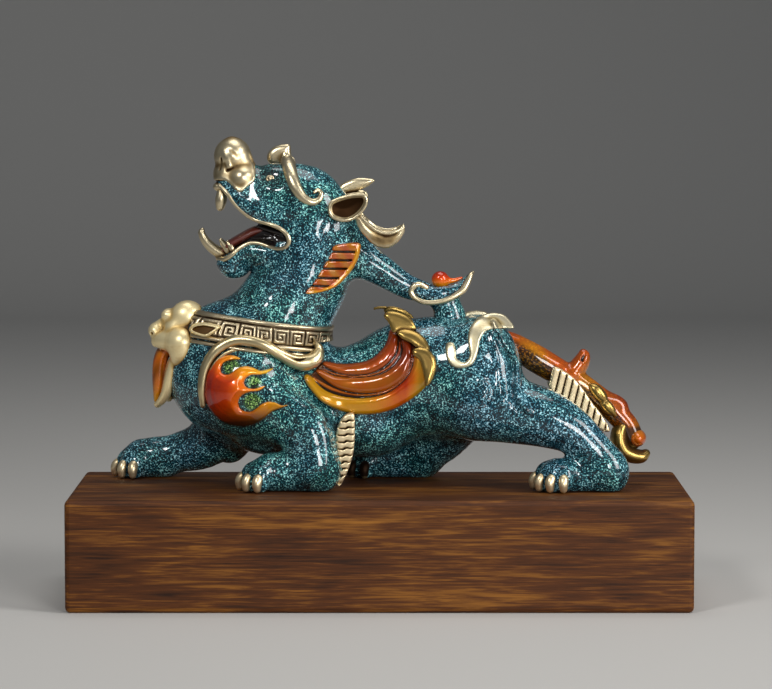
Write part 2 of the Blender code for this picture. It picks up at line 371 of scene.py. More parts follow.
def standing(clay, rim, off, thick, edge):
    # a free leaf in a plane along the side view, rounded at its rim
    x, y, h = allOf(clay)
    s = outline(x[:, 0], h[0], rim)
    plate = np.maximum(np.abs(np.abs(y) - off) - thick * domeOf(s, edge), s[:, None, :]).astype(np.float32)
    clay["field"] = union(clay["field"], plate, 0.6)


def linear(hexColour):
    # sRGB hex to the linear values that shaders take
    parts = [int(hexColour[i:i + 2], 16) / 255 for i in (1, 3, 5)]
    return (*(c / 12.92 if c <= 0.04045 else ((c + 0.055) / 1.055) ** 2.4 for c in parts), 1)


def feed(tree, node, inputs):
    # sets inputs of a node, each to a value or to the node or socket that feeds it
    for key, value in inputs.items():
        if hasattr(value, "outputs"):
            value = next(socket for socket in value.outputs if socket.enabled)
        if isinstance(value, bpy.types.NodeSocket):
            tree.links.new(value, node.inputs[key])
        else:
            node.inputs[key].default_value = value


def newMaterial(name, **values):
    material = bpy.data.materials.new(name)
    material.use_nodes = True
    shader = material.node_tree.nodes["Principled BSDF"]
    feed(material.node_tree, shader, values)
    return material, material.node_tree, shader


def addNode(tree, kind, inputs=None, stops=(), **settings):
    # one node with its settings, what goes into it and, on a colour ramp, its stops
    node = tree.nodes.new("ShaderNode" + kind)
    for key, value in settings.items():
        setattr(node, key, value)
    feed(tree, node, inputs or {})
    for k, (place, colour) in enumerate(stops):
        stop = node.color_ramp.elements[k] if k < 2 else node.color_ramp.elements.new(place)
        stop.position = place
        stop.color = linear(colour) if isinstance(colour, str) else (colour, colour, colour, 1)
    return node


report("tools ready")

# Enamel: stoved lacquer over bronze, thrown with turquoise and pale flecks, under a thick clear coat. The eye
# gets fine bright flecks on deep teal, near black in the gaps, and hard white reflections.

gloss = {"Specular IOR Level": 0.12, "Coat Weight": 1.0, "Coat Roughness": 0.03}
enamelFinish = {
    "fleck": 0.74, "gather": 5.0, "drift": 30.0, "swell": 8.0,  # millimetres
    "stops": [(0.42, "#02151b"), (0.5, "#07313b"), (0.55, "#165562"), (0.585, "#4f969e"), (0.64, "#d4f6f3")],
    "mossStops": [(0.42, "#061204"), (0.49, "#17380f"), (0.55, "#4c8426"), (0.64, "#bfe08e")],
    "hue": [(0.36, "#e2eeff"), (0.64, "#d6fff0")], "dusk": "#140d0a",
}


def makeEnamel():
    e = enamelFinish
    material, tree, shader = newMaterial("flecked enamel", Roughness=0.4, **gloss)
    place = addNode(tree, "TexCoord").outputs["Object"]
    moss, dusk = [addNode(tree, "Attribute", attribute_name=mark).outputs["Fac"] for mark in ("moss", "dusk")]
    fine = {"Detail": 3.0, "Roughness": 0.66, "Distortion": 0.3}
    flecks = addNode(tree, "TexNoise", {"Scale": 1 / (e["fleck"] * mm), "Vector": place, **fine})
    clouds = []
    for size, detail in (("gather", 2.0), ("drift", 2.0), ("swell", 1.0)):
        coarse = {"Scale": 1 / (e[size] * mm), "Detail": detail}
        clouds.append(addNode(tree, "TexNoise", {"Vector": place, **coarse}))
    gather, drift, swell = clouds
    shift = addNode(tree, "Math", {0: gather, 1: 0.2, 2: -0.1}, operation="MULTIPLY_ADD")
    total = addNode(tree, "Math", {0: shift, 1: flecks}, operation="ADD")
    colour = addNode(tree, "ValToRGB", {"Fac": total}, e["stops"])
    green = addNode(tree, "ValToRGB", {"Fac": total}, e["mossStops"])
    hue = addNode(tree, "ValToRGB", {"Fac": drift}, e["hue"])
    tint = {"data_type": "RGBA", "blend_type": "MULTIPLY"}
    tinted = addNode(tree, "Mix", {"Factor": 1.0, "A": colour, "B": hue}, **tint)
    mossy = addNode(tree, "Mix", {"Factor": moss, "A": tinted, "B": green}, data_type="RGBA")
    # the dark colour mixed in here is painted shade inside the mouth and round the eyes, and the real dark
    # line round each flame
    final = addNode(tree, "Mix", {"Factor": dusk, "A": mossy, "B": linear(e["dusk"])}, data_type="RGBA")
    bump = addNode(tree, "Bump", {"Strength": 0.3, "Distance": 0.5 * mm, "Height": swell})
    feed(tree, shader, {"Base Color": final, "Coat Normal": bump})
    return material


# Old brass: bronze bright-washed and waxed brown in the hollows. The eye gets pale worn ridges that shine
# softly and dark lines round every ornament. Each finish is its wax, middle and bright colours, roughness
# and metal.

brassFinishes = {
    "waxed champagne brass": (("#33200f", "#978059", "#d6c6a2"), 0.3, 0.95),
    "brown waxed brass": (("#22150b", "#6c5a42", "#bdad8e"), 0.32, 0.95),
    "pale waxed brass": (("#2b1a0c", "#b39c70", "#e4d0a8"), 0.36, 0.85),
    "silver gilt brass": (("#3a2712", "#a5946a", "#dcd0ae"), 0.34, 0.9),
    "yellow polished brass": (("#553a16", "#d0ae6c", "#f4e0ac"), 0.36, 0.6),
    "antique gold wash": (("#1f1307", "#604724", "#a88a4c"), 0.28, 0.95),
    "old yellow brass": (("#2c1b0b", "#7f6a43", "#c9b78d"), 0.3, 0.95),
}


def makeBrass(name):
    colours, polish, metal = brassFinishes[name]
    material, tree, shader = newMaterial(name, Metallic=metal)
    place = addNode(tree, "TexCoord").outputs["Object"]
    wear, dusk = [addNode(tree, "Attribute", attribute_name=mark).outputs["Fac"] for mark in ("wear", "dusk")]
    clouds = {"Scale": 1 / (5 * mm), "Detail": 4.0, "Roughness": 0.6}
    cloud = addNode(tree, "TexNoise", {"Vector": place, **clouds})
    shifted = addNode(tree, "Math", {0: cloud, 1: 0.4, 2: wear}, operation="MULTIPLY_ADD")
    # the subtracted mark is painted shade in the ear funnels, at the bottom of the ear tufts and on the far
    # hind claws
    bare = addNode(tree, "Math", {0: shifted, 1: dusk}, operation="SUBTRACT")
    colour = addNode(tree, "ValToRGB", {"Fac": bare}, list(zip((0.32, 0.56, 0.84), colours)))
    rough = addNode(tree, "ValToRGB", {"Fac": bare}, [(0.35, 0.55), (0.9, polish)])
    grit = addNode(tree, "TexNoise", {"Scale": 1 / (0.9 * mm), "Detail": 3.0, "Vector": place})
    bump = addNode(tree, "Bump", {"Strength": 0.1, "Distance": 0.2 * mm, "Height": grit})
    feed(tree, shader, {"Base Color": colour, "Roughness": rough, "Normal": bump})
    return material


# Candy lacquer: transparent orange and red glaze over polished brass, under clear coat. The eye gets a deep
# colour that thins to gold where little glaze lies, with brown wax in the hollows.

glazeFinish = {
    "stops": [(0.0, "#cf9d18"), (0.22, "#e08d08"), (0.45, "#de6904"), (0.7, "#c23a01"), (1.0, "#8c0c00")],
    "waxAndShade": "#170a03", "metal": 0.25,
}


def makeLacquer():
    g = glazeFinish
    material, tree, shader = newMaterial("orange candy lacquer", Metallic=g["metal"], Roughness=0.3, **gloss)
    place = addNode(tree, "TexCoord").outputs["Object"]
    marks = ("wear", "dusk", "glaze")
    wear, dusk, glaze = [addNode(tree, "Attribute", attribute_name=mark).outputs["Fac"] for mark in marks]
    cloud = addNode(tree, "TexNoise", {"Scale": 1 / (6 * mm), "Detail": 3.0, "Vector": place})
    shifted = addNode(tree, "Math", {0: cloud, 1: 0.3, 2: -0.15}, operation="MULTIPLY_ADD")
    total = addNode(tree, "Math", {0: shifted, 1: glaze}, operation="ADD")
    colour = addNode(tree, "ValToRGB", {"Fac": total}, g["stops"])
    hollow = addNode(tree, "ValToRGB", {"Fac": wear}, [(0.1, 1.0), (0.4, 0.0)])
    # besides the brown wax in the hollows, the wax colour is painted shade under the flames and inside the
    # tail roll
    for waxed in (hollow, dusk):
        colour = addNode(tree, "Mix", {"Factor": waxed, "A": colour, "B": linear(g["waxAndShade"])}, data_type="RGBA")
    feed(tree, shader, {"Base Color": colour})
    return material


enamel = makeEnamel()
metals = [makeBrass(name) for name in brassFinishes]
brass, collarBrass, ivory, paleBrass, maskBrass, gold, scrollBrass = metals
lacquer = makeLacquer()

# The casting: body, legs, head and horn in one.

casting = {
    "trunk": [(-74, 51, 19), (-58, 44, 25), (-38, 40, 24), (-16, 38, 23.5), (0, 41, 25), (14, 47, 26.5),
        (28, 48.5, 26.8), (38, 50, 25.2)],
    "breast": [(-70, 63, 19), (-72, 45, 20.5)],
    "neck": [(-61, 54, 22), (-49, 68, 23.5), (-40, 82, 21.4), (-33.5, 93, 20), (-30, 104, 18.5),
        (-29, 114, 17)],
    "belly": ((-5, 0, 25), (17, 19, 12)),
    "armpit": [(-38, -8, 24.4, 10), (-50, -6, 23.8, 10), (-60, 6, 24.4, 9.5)],
    "lumps": [((42.5, 13, 47), (18.5, 15, 23), -10), ((45.5, 13, 62), (11.5, 9.5, 11.5), 0),
        ((-60, 13, 44.5), (17.5, 16, 19), 10)],
    "horn": [(-20, 112, 12), (-8, 101, 8.5), (2, 94.5, 6.8), (11, 89, 5.6), (21, 85.5, 4.6)],
    "legs": {
        "near_fore": [(-58, -15, 44, 17), (-44, -19, 34.5, 14), (-32, -25, 25, 11.8), (-29, -27, 12, 11)],
        "far_fore": [(-60, 17, 30, 13), (-68.4, 21, 15.8, 9.0), (-67, 19, 25, 13.5), (-80, 23, 15, 10.8),
            (-91, 25, 11.4, 9), (-99, 26, 9.6, 8)],
        "near_hind": [(46, -16, 38, 17), (60, -19, 34.5, 14.5), (73, -22, 31.5, 12.8),
            (84.5, -25, 26.4, 10.2), (92.6, -26.5, 19.4, 8.8), (98.6, -27, 12, 9.2)],
        "far_hind": [(34, 15, 34, 18), (26, 20, 20, 13.5), (16, 25, 12, 11), (6, 26, 10, 10)],
    },
}
paws = {  # heel, middle of the paw, and how far off it each toe ends
    "near_fore": {"heel": (-27, -27, 9, 10), "arch": (8.2, 8.8), "middle": (-47.5, -27),
        "toes": [(-4.6, -8.8), (-8.4, -6.2), (-10.8, -0.6), (-8.6, 5.6)]},
    "far_fore": {"heel": (-99, 26, 8, 8.4), "arch": (8.4, 9.0), "middle": (-108, 26),
        "toes": [(-2.8, -8.4), (-6.6, -6.4), (-9.2, -0.8), (-7.4, 5.4)]},
    "near_hind": {"heel": (100.4, -27, 7.6, 9.6), "arch": (6.6, 8.0), "middle": (82.6, -27),
        "toes": [(-1.6, -9.2), (-6.0, -8.2), (-9.6, -4.8), (-11.4, 1.2)]},
    # the far hind claws are darkened with painted shade
    "far_hind": {"heel": (18.6, 25, 8.8, 9.8), "arch": (8, 8.8), "dusk": 0.75, "middle": (-3.4, 26),
        "toes": [(-2.6, -8.2), (-6.8, -5.8), (-9.2, -0.4), (-7, 5.4)]},
}


def toesOf(paw):
    # a place by how far out along each toe it is (1 at its end), how high, and its radius
    for dx, dy in paw["toes"]:
        long = math.hypot(dx, dy)
        yield lambda out, h, radius, dx=dx, dy=dy, long=long: (
            paw["middle"][0] + dx * (1 + out / long), paw["middle"][1] + dy * (1 + out / long), h, radius)


def modelPaw(clay, paw):
    hx, hy, hh, hr = paw["heel"]
    mx, my = paw["middle"]
    ah, ar = paw["arch"]
    limb(clay, [(hx, hy, hh, hr), ((hx + mx) / 2, my, ah + 0.2, ar), (mx, my, ah, ar)], 4)
    for toe in toesOf(paw):
        limb(clay, [toe(-6, 9.6, 4.6), toe(-2.2, 8.4, 4.3), toe(-0.6, 5.6, 3.7), toe(-0.4, 3.4, 3.2)], 1.6)


head = {
    "skull": [(-28, 121, 15.5), (-34, 127, 15.8), (-45, 129.5, 13.2)],
    "snout": [(-45, 129.5, 13), (-54, 131, 10.8), (-61, 135, 9.4), (-66, 138.5, 7.4)],
    "flew": [(-41, 10, 115, 5), (-50, 9.5, 121, 5.2), (-60, 7.5, 126.4, 4.6), (-68, 4.5, 132, 3.6)],
    "cheek": ((-32, 8.5, 112), (13, 8.5, 12)),
    "jaw": [(-34, 102.5, 10), (-47, 102.2, 8.2), (-58, 102.4, 7.2), (-67, 99.2, 5.8)],
    "rail": [(-45, 9.5, 102.4, 3.6), (-52, 7.6, 104.2, 3.5), (-58.6, 6, 104.6, 3.3), (-63.5, 5.2, 102, 3.2),
        (-67.5, 3.6, 98.8, 3)],
    "chin": ((-65.3, 0, 96.8), (6.2, 7.5, 5.0)),
    "throat": [(-38, 111, 10), (-47, 111.5, 8.5), (-54, 110.5, 6), (-62, 106, 4)],
    "lips": [  # (x, h), least distance off the middle plane, half width
        (-73.4, 133.6, 2, 0.94), (-71, 133.8, 3.2, 1.1), (-67.7, 130.6, 4.6, 0.94), (-64.5, 126.2, 6.2, 0.86),
        (-59.9, 121.7, 8.2, 0.9), (-54.7, 118.7, 10.6, 0.94), (-48.2, 116.9, 12.6, 0.98),
        (-43.7, 115, 13.6, 1), (-40.8, 112.4, 14, 1.1), (-39.9, 109.2, 14, 1.1), (-41.6, 106.8, 13.4, 1),
        (-45, 106, 12, 0.94), (-49, 106.8, 10.4, 0.86), (-52, 107.9, 9.4, 0.86), (-55.4, 108.5, 8.4, 0.86),
        (-58.6, 108, 7.6, 0.94), (-62.5, 105.8, 6.8, 1), (-65.8, 102.8, 6, 1.1), (-69, 101, 4.2, 1.2),
        (-72, 101.2, 0.5, 1.2)],
    # throat left between the jaws, by depth behind the tongue
    "core": [(-1, -8), (0.5, 4), (3, 7), (8, 10), (12, 13)],
    "palate": [[(-43, 10.5, 112.6, 0.78), (-49, 9.4, 114.2, 0.94), (-54, 7.4, 115.8, 0.78)],
        [(-43.5, 10.8, 109.6, 0.62), (-51, 9.4, 110.4, 0.7), (-57, 7, 110.6, 0.62)],
        [(-46, 10.4, 111.2, 0.47), (-52, 9, 112.4, 0.55)]],
    "socket": [(-51, 137.5, 1.0), (-45.5, 136.2, 1.4)],
}


def mouthShape(x, h):
    return outline(x, h, [lip[:2] for lip in head["lips"]] + [(-84, 98), (-96, 116), (-84, 140)], 4)


def openMouth(clay):
    # lips are placed on the closed cheeks first, then the mouth is cut inside their line
    limb(clay, head["throat"], 2)
    head["lipLine"] = [(x, max(abs(skinAt(clay, x, h, near)[0]), off), h, r) for x, h, off, r in head["lips"]]
    where, grid = windowOf(clay, (-98, -22, 94), (-36, 22, 142))
    x, y, h = grid
    behind = (x + 61.2) * 0.45 - (h - 112.4) * 0.893  # depth behind the line of the tongue
    core = np.interp(behind.ravel(), *zip(*head["core"])).reshape(behind.shape)
    cut = np.maximum(mouthShape(x[:, 0], h[0])[:, None, :] + 0.5, core - np.abs(y)).astype(np.float32)
    clay["field"][where] = shave(clay["field"][where], cut, 0.8)
    for side in sides:
        for fold in head["palate"]:
            limb(clay, fold, 0.8, side)


def modelBody(clay):
    c, g = casting, head
    limb(clay, c["trunk"], 3, press=((0, 1, 0), 1.08))
    limb(clay, c["breast"], 8, press=((0, 1, 0), 0.95))
    limb(clay, c["neck"], 7)
    ball(clay, c["belly"], 8)
    limb(clay, c["armpit"], 6)
    for centre, radii, tilt in c["lumps"]:
        for side in sides:
            ball(clay, (centre, radii), 9, side, tilt)
    for name, leg in c["legs"].items():
        limb(clay, leg, 7)
        modelPaw(clay, paws[name])
    limb(clay, c["horn"], 7)
    limb(clay, g["skull"], 6)
    limb(clay, g["snout"], 5)
    limb(clay, g["jaw"], 6, press=((0, 0, 1), 1.5))
    ball(clay, g["chin"], 3)
    for side in sides:
        ball(clay, g["cheek"], 7, side)
        limb(clay, g["flew"], 5, side)
        limb(clay, g["rail"], 3, side)
        emboss(clay, g["socket"], side, -1.0, 1.8)
    openMouth(clay)
    level(clay, 0.3)  # flat soles on the plinth


creases = [  # side-view line (x, h, half width), how far it stands up, how soft it is
    ([(50.5, 74, 0.2), (54, 67, 0.3), (57, 62.8, 0.4), (60, 58.5, 0.4), (61.2, 54, 0.4), (60.6, 46, 0.4),
        (61, 41.5, 0.3), (65, 36, 0.2)], 1.7, 1.1),
    ([(51.2, 69, 0.2), (54.6, 62.4, 0.3), (57.4, 57.6, 0.4), (58.4, 53, 0.4), (58, 46, 0.4), (58.4, 41, 0.3),
        (61.5, 36.5, 0.2)], -1.2, 0.9),
    ([(50, 70, 0.2), (53, 61, 1.2), (55, 54, 1.8), (55, 47, 1.4), (54, 40, 0.4)], 1.5, 2.0),
    ([(46.8, 48.4, 0.2), (49, 45.5, 0.4), (48.4, 42.5, 0.4), (46.4, 38.7, 0.2)], -1.1, 0.9),
    ([(45, 49, 0.2), (47.2, 46, 0.4), (46.6, 43, 0.4), (44.6, 39, 0.2)], 0.8, 1.2),
    ([(-23.5, 117, 0.2), (-25, 113, 0.4), (-22.5, 109, 0.4), (-24, 104, 0.2)], -0.35, 1.0),
]


body = newClay((-125, -41, -1.5), (120, 41, 147), 0.55)
modelBody(body)
for line, rise, soft in creases:
    for side in sides:
        emboss(body, line, side, rise, soft)
foreRidge = [(-45.5, 44.5, 0.3), (-40.6, 41, 1.2), (-35, 36.8, 1.8), (-30.8, 33, 2.2), (-27.6, 28.4, 2.4),
    (-25.6, 20.4, 2.2), (-26, 12.4, 1.6), (-31, 7.2, 0.5)]
emboss(body, foreRidge, near, 1.9, 3.2)  # down the near foreleg
report("body modelled")

# Flames on the shoulders: an orange glazed disc that breaks into four tongues.

flame = {
    "rim": [(-77.2, 44), (-76.6, 50), (-74.6, 54.6), (-71.8, 57.9), (-68, 59.6), (-64.4, 59.9), (-61, 58.4),
        (-64.6, 58), (-68, 57), (-69.8, 54.8), (-69.4, 52.4), (-67, 51.6), (-64.8, 52.6), (-62.6, 54.4),
        (-59, 55.4), (-55.4, 54.7), (-52.6, 53.4), (-49.8, 53.8), (-46.6, 54.2), (-49.4, 52.2), (-53, 51.6),
        (-56.2, 51.6), (-58.6, 50.2), (-59.3, 48), (-58, 46.2), (-55, 45.7), (-52.4, 46.4), (-50.2, 46.8),
        (-52.8, 44.8), (-57, 44.2), (-60.6, 42.4), (-62, 39.4), (-60.8, 36.4), (-57.2, 35.4), (-54.2, 36.9),
        (-51.9, 38.8), (-49, 40), (-45.8, 39.7), (-43, 38.5), (-39.6, 38.9), (-43.6, 37.1), (-47.2, 35.7),
        (-50, 33.2), (-53.6, 30.2), (-58.6, 28.6), (-64, 28.6), (-69.8, 30.6), (-74.4, 35), (-76.8, 39.6)],
    "grain": 0.34, "rise": 1.1, "edge": 1.1, "swell": (-65, 44.6, 14, 3.2),
    "pockets": [(-65, 54.8, 4.2), (-55, 48.4, 3.4), (-55.8, 39.9, 4.4)],
}


def flameShape(x, h):
    return outline(x, h, flame["rim"], 4)


def flameGlaze(p):
    # red at the front, orange in the middle, amber towards the tips
    x, h = p[:, 0], p[:, 2]
    return 0.94 - 0.5 * share(x + 75, 15) - 0.26 * share(x + 60, 12) - 0.36 * share(h - 49, 8)


def flameShadeBelow(p):
    # painted shade, darker towards the bottom
    return 0.96 * share(40.5 - p[:, 2] + 0.12 * (p[:, 0] + 62), 10) ** 1.3


def flameMoss(p):
    # green enamel in the pockets between the tongues
    depth = np.max([r - np.hypot(p[:, 0] - x, p[:, 2] - h) for x, h, r in flame["pockets"]], axis=0)
    return share(depth, 1.2) * (np.abs(p[:, 1]) > 14)


def bodyShadeAndLines(p):
    # painted shade inside the mouth and round the eyes under the brows, and a dark line round each flame
    inside = mouthShape(p[:, 0], p[:, 2]) < 0.4
    wall = np.abs(p[:, 1]) < np.interp(p[:, 0], [-66, -56, -38], [4, 9.5, 13.5])
    eye = np.exp(-((p[:, 0] + 48.5) / 7) ** 2 - ((p[:, 2] - 138.6) / 5) ** 2)
    line = np.exp(-(flameShape(p[:, 0], p[:, 2]) / 0.7) ** 2) * (np.abs(p[:, 1]) > 14)
    return np.where(inside & wall & (p[:, 0] > -66), 1.0, np.maximum(0.8 * eye, 0.85 * line))


copied = dict(body, field=body["field"].copy())  # the clay itself stays as the base of the overlays
bodyPiece = cast("enamelled_body", copied, enamel, "enamel", 150000, relax=2, dusk=bodyShadeAndLines, moss=flameMoss)
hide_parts("pixiu_figure")
report("enamelled body")

# Claws: small pegs of bare brass on each toe; those of the far hind paw get painted shade.


def makeClaws(name, paw):
    mx, my = paw["middle"]
    clay = newClay((mx - 18, my - 16, -0.5), (mx + 6, my + 14, 14), 0.3)
    for toe in toesOf(paw):
        limb(clay, [toe(0.6, 7.0, 1.9), toe(2.4, 6.2, 2.2), toe(3.4, 4.2, 2.1), toe(3.3, 2.1, 1.7)], 0.5)
    level(clay, 0.35)
    cast(name + "_claws", clay, ivory, "bronze", 10000, body,
        dusk=lambda p: np.full(len(p), paw.get("dusk", 0.0)))


for name, paw in paws.items():
    makeClaws(name, paw)
report("claws")

# Collar: a brass band round the neck with a raised key fret between two rims, and a plain strand under it.

collar = {
    "x": -49.0, "h": 68.6, "lean": -7.2, "reach": 27.5, "tall": 5.9,
    "cell": 8.2, "base": 1.3, "fret": 0.75, "line": 0.55,
    "turns": [(-3.2, -2.6), (-3.2, 2.6), (3.0, 2.6), (3.0, -2.4), (-1.4, -2.4), (-1.4, 0.9), (1.2, 0.9),
        (1.2, -0.7), (0.3, -0.7)],
}


def fretDistance(u, v):
    # squared spirals, every second one turned over
    cell = collar["cell"]
    index = np.floor(u / cell)
    a = u - (index + 0.5) * cell
    a = np.where(index % 2 == 0, a, -a)
    best = np.full(np.broadcast(a, v).shape, 9.0)
    for (x0, y0), (x1, y1) in zip(collar["turns"], collar["turns"][1:]):
        dx = np.maximum(np.abs(a - (x0 + x1) / 2) - abs(x1 - x0) / 2, 0)
        dy = np.maximum(np.abs(v - (y0 + y1) / 2) - abs(y1 - y0) / 2, 0)
        best = np.minimum(best, np.maximum(dx, dy))
    return best - collar["line"]


def makeCollar():
    c = collar
    clay = newClay((-84, -34, 55), (-14, 34, 83), 0.4)
    skin = onto(body, clay)
    x, y, h = allOf(clay)
    lean = math.radians(c["lean"])
    v = (h - c["h"]) * math.cos(lean) - (x - c["x"]) * math.sin(lean)
    u = np.arctan2(y, x - c["x"]) * c["reach"]
    rims = np.abs(np.abs(v) - (c["tall"] - 1.0)) - 0.75
    raised = np.minimum(rims, np.where(np.abs(v) < c["tall"] - 1.6, fretDistance(u, v), 9))
    fret = c["fret"] * share(-20.6 - x, 2.4)  # it fades out at the back of the neck
    height = c["base"] + fret / (1 + np.exp(np.clip(raised / 0.16, -30, 30)))
    strand = np.sqrt((v + c["tall"] + 1.5) ** 2 + (skin - 0.4) ** 2) - 0.95
    band = np.maximum(np.maximum(skin - height, np.abs(v) - c["tall"]), -skin - 1.5)
    # flush with the back of the neck
    back = np.maximum(x + 19.0 + 0.12 * (72 - h), np.minimum(x + 27, 64.4 - h))
    clay["field"] = np.maximum(np.minimum(band, strand), back).astype(np.float32)
    cast("collar", clay, collarBrass, "bronze", 80000, body)


makeCollar()
report("collar")

for word, side in namedSides:
    clay = newClay((-80, 8, 26), (-37, 42, 62), flame["grain"], side)
    inlay(clay, body, flameShape, flame["rise"], flame["edge"], swell=flame["swell"])
    cast(word + "_flame", clay, lacquer, "lacquer", 28000, body, glaze=flameGlaze, dusk=flameShadeBelow)
report("flames")

# Scroll bands: each runs round the front of a flame and back along the shoulder into a rolled hook.

scroll = {
    "band": [(-77.2, 38, 1.4), (-77.6, 45.7, 1.9), (-76, 54.3, 2.2), (-71.4, 61.4, 2.5), (-64.5, 65.4, 2.5),
        (-57.5, 65.8, 2.4), (-51.3, 64.3, 2.4), (-45.5, 60.8, 2.5), (-39.5, 57.3, 3.0), (-33.5, 55.6, 3.7),
        (-28.9, 57.2, 3.4), (-27.8, 61, 2.4), (-29, 65, 1.2), (-30, 67.6, 0.3)],
    "inner": [(-75.4, 44, 0.7), (-73.6, 53.4, 0.8), (-69, 59.3, 0.8), (-63.6, 61.8, 0.8), (-57, 62.2, 0.7),
        (-50.5, 60.3, 0.5)],
    "groove": [(-47, 61.8, 0.2), (-42.4, 59.2, 0.5), (-38, 57.6, 0.6), (-34, 57.2, 0.4)],
    "tips": (0, 0, 0, 0.3, 0.8, 0.8, 1.0, 1.4, 2.2, 2.6, 2.6),
}
for word, side in namedSides:
    clay = newClay((-84.6, 8, 31), (-20.8, 44, 74.6), 0.36, side)
    ribbon(clay, body, scroll["band"], side, 1.3, 1.15, tips=scroll["tips"])
    ribbon(clay, body, scroll["inner"], side, 0.5, 1.0)
    ribbon(clay, body, scroll["groove"], side, 4.6, 1.0, work=shave)
    cast(word + "_scroll_band", clay, scrollBrass, "bronze", 23000, body)
report("scroll bands")

# Wings: three nested feathers, glazed orange, each ending in a bare brass tip that laps over the next.

wing = {
    "plate": [(-33, 48.4), (-30, 51), (-25, 56), (-17.5, 55), (-10.7, 55.6), (-4.9, 57), (-0.1, 60.4),
        (3.2, 64.7), (5, 69.6), (12, 67), (18, 62.4), (23, 59), (24, 54), (21.8, 48.8), (17, 43.4),
        (10.4, 38.8), (3.6, 35.6), (-4, 34.1), (-12.7, 34.4), (-20.4, 36.8), (-27.1, 41.4)],
    "feathers": [
        [(-33, 48.8), (-31.2, 50.4), (-25.2, 44.5), (-18.4, 41.5), (-10.7, 40.4), (-3, 40.9), (3.7, 42.9),
            (8.5, 46.2), (12.4, 50.1), (14.8, 54.9), (15.4, 59.5), (17.6, 62.2), (21.6, 61.2), (23.9, 58),
            (24.1, 54.2), (22, 48.8), (17.2, 43.1), (10.5, 38.4), (3.7, 35.2), (-4, 33.7), (-12.7, 34),
            (-20.4, 36.5), (-27.1, 41)],
        [(-27.6, 51.8), (-26.2, 52.6), (-20.4, 50.1), (-13.6, 49.3), (-5.9, 49.6), (0.8, 51), (5.6, 53.9),
            (9, 57.8), (10.5, 61.6), (9.8, 65.8), (12.8, 65.4), (13.9, 60.7), (13.3, 55.9), (11.4, 51),
            (7.6, 47.2), (1.8, 44.1), (-5.9, 43.1), (-13.6, 43.8), (-20.4, 46.2)],
        [(-24.6, 54.8), (-24, 56), (-17.5, 54.9), (-10.7, 55.4), (-4.9, 56.8), (-0.1, 60.2), (3.2, 64.5),
            (4.7, 69.6), (7.4, 69.6), (7.7, 65.5), (7.2, 62), (5.6, 58.7), (1.8, 54.9), (-4, 51.8),
            (-10.7, 51), (-17.5, 51.5)],
    ],
    "rises": [3.0, 2.4, 2.2],
    "lines": [
        [(-25, 53, 0.25), (-19, 50.8, 0.4), (-12, 50.1, 0.4), (-4.5, 50.7, 0.45), (1.6, 52.8, 0.5),
            (5.6, 56.2, 0.6), (8.4, 60.6, 0.6), (8.8, 65, 0.4)],
        [(-29.2, 49.2, 0.6), (-22, 45, 0.8), (-14, 42.5, 0.45), (-5.5, 42, 0.45), (2.4, 43.5, 0.45),
            (7.8, 46.7, 0.45), (11.9, 50.8, 0.45), (14, 55.6, 0.4), (14.5, 60, 0.3)],
    ],
    "tips": [
        [(14.6, 60.2), (14.8, 62.4), (18.2, 63.2), (22, 61.8), (24.6, 58.4), (24.9, 54), (23.4, 49.4),
            (20.8, 46.4), (19.6, 49.6), (18.7, 54), (17.4, 57.6)],
        [(7.6, 69.2), (8.6, 70.4), (11.6, 70.9), (16.2, 69.7), (19.9, 67), (21.9, 63.6), (21.6, 61.4),
            (17.4, 62.4), (13.3, 65.2), (9.8, 66.8)],
        [(1.8, 77), (3.7, 78.6), (7.6, 78.3), (11.6, 76.8), (14.8, 74.2), (16.2, 70.9), (13.3, 70), (9.5, 70),
            (6.4, 69), (5.2, 70.2), (3.9, 73.4), (2.2, 75.6)],
    ],
    "tipRises": [3.9, 3.6, 2.6],
    "stands": [[(46, 29), (54, 27.2), (63, 24.4)], [(61, 24.4), (66, 21.6), (71, 18.8)],
        [(69, 17.8), (74, 16.4), (79, 14.6)]],
    "hook": [(-3.9, 76.6), (-2.8, 78), (1.2, 78.6), (5.2, 77.8), (8.8, 75.6), (8.4, 74.6), (4.8, 76.4),
        (1, 77.3), (-2.0, 76.9)],
}


def wingGlaze(p):
    # yellow along the low front edge, orange in the middle, redder up at the root of the tips
    x, h = p[:, 0], p[:, 2]
    outer = outline(x, h, wing["feathers"][0], 3) < 0.6
    along = 0.1 + 0.4 * share(x + 6, 14) + 0.3 * share(h - 42 + 0.1 * x, 8) * (x > -12)
    inner = 0.38 + 0.2 * share(h - 49, 10) + 0.08 * share(x + 2, 12)
    return np.where(outer, along - 0.7 * share(x - 11.5, 6), inner)


def wingDusk(p):
    # the inner feathers are browner, and the floor between feathers is dark
    x, y, h = p.T
    outer = outline(x, h, wing["feathers"][0], 3) < 0.6
    feather = np.where(outer, 0.3 + 0.2 * share(x - 12, 6), 0.56 + 0.14 * share(x - 2, 10))
    floor = np.clip((1.15 - sampleAt(body, body["field"], p)) / 0.3, 0, 0.93)
    return np.maximum(floor * (np.abs(y) > 6), feather)


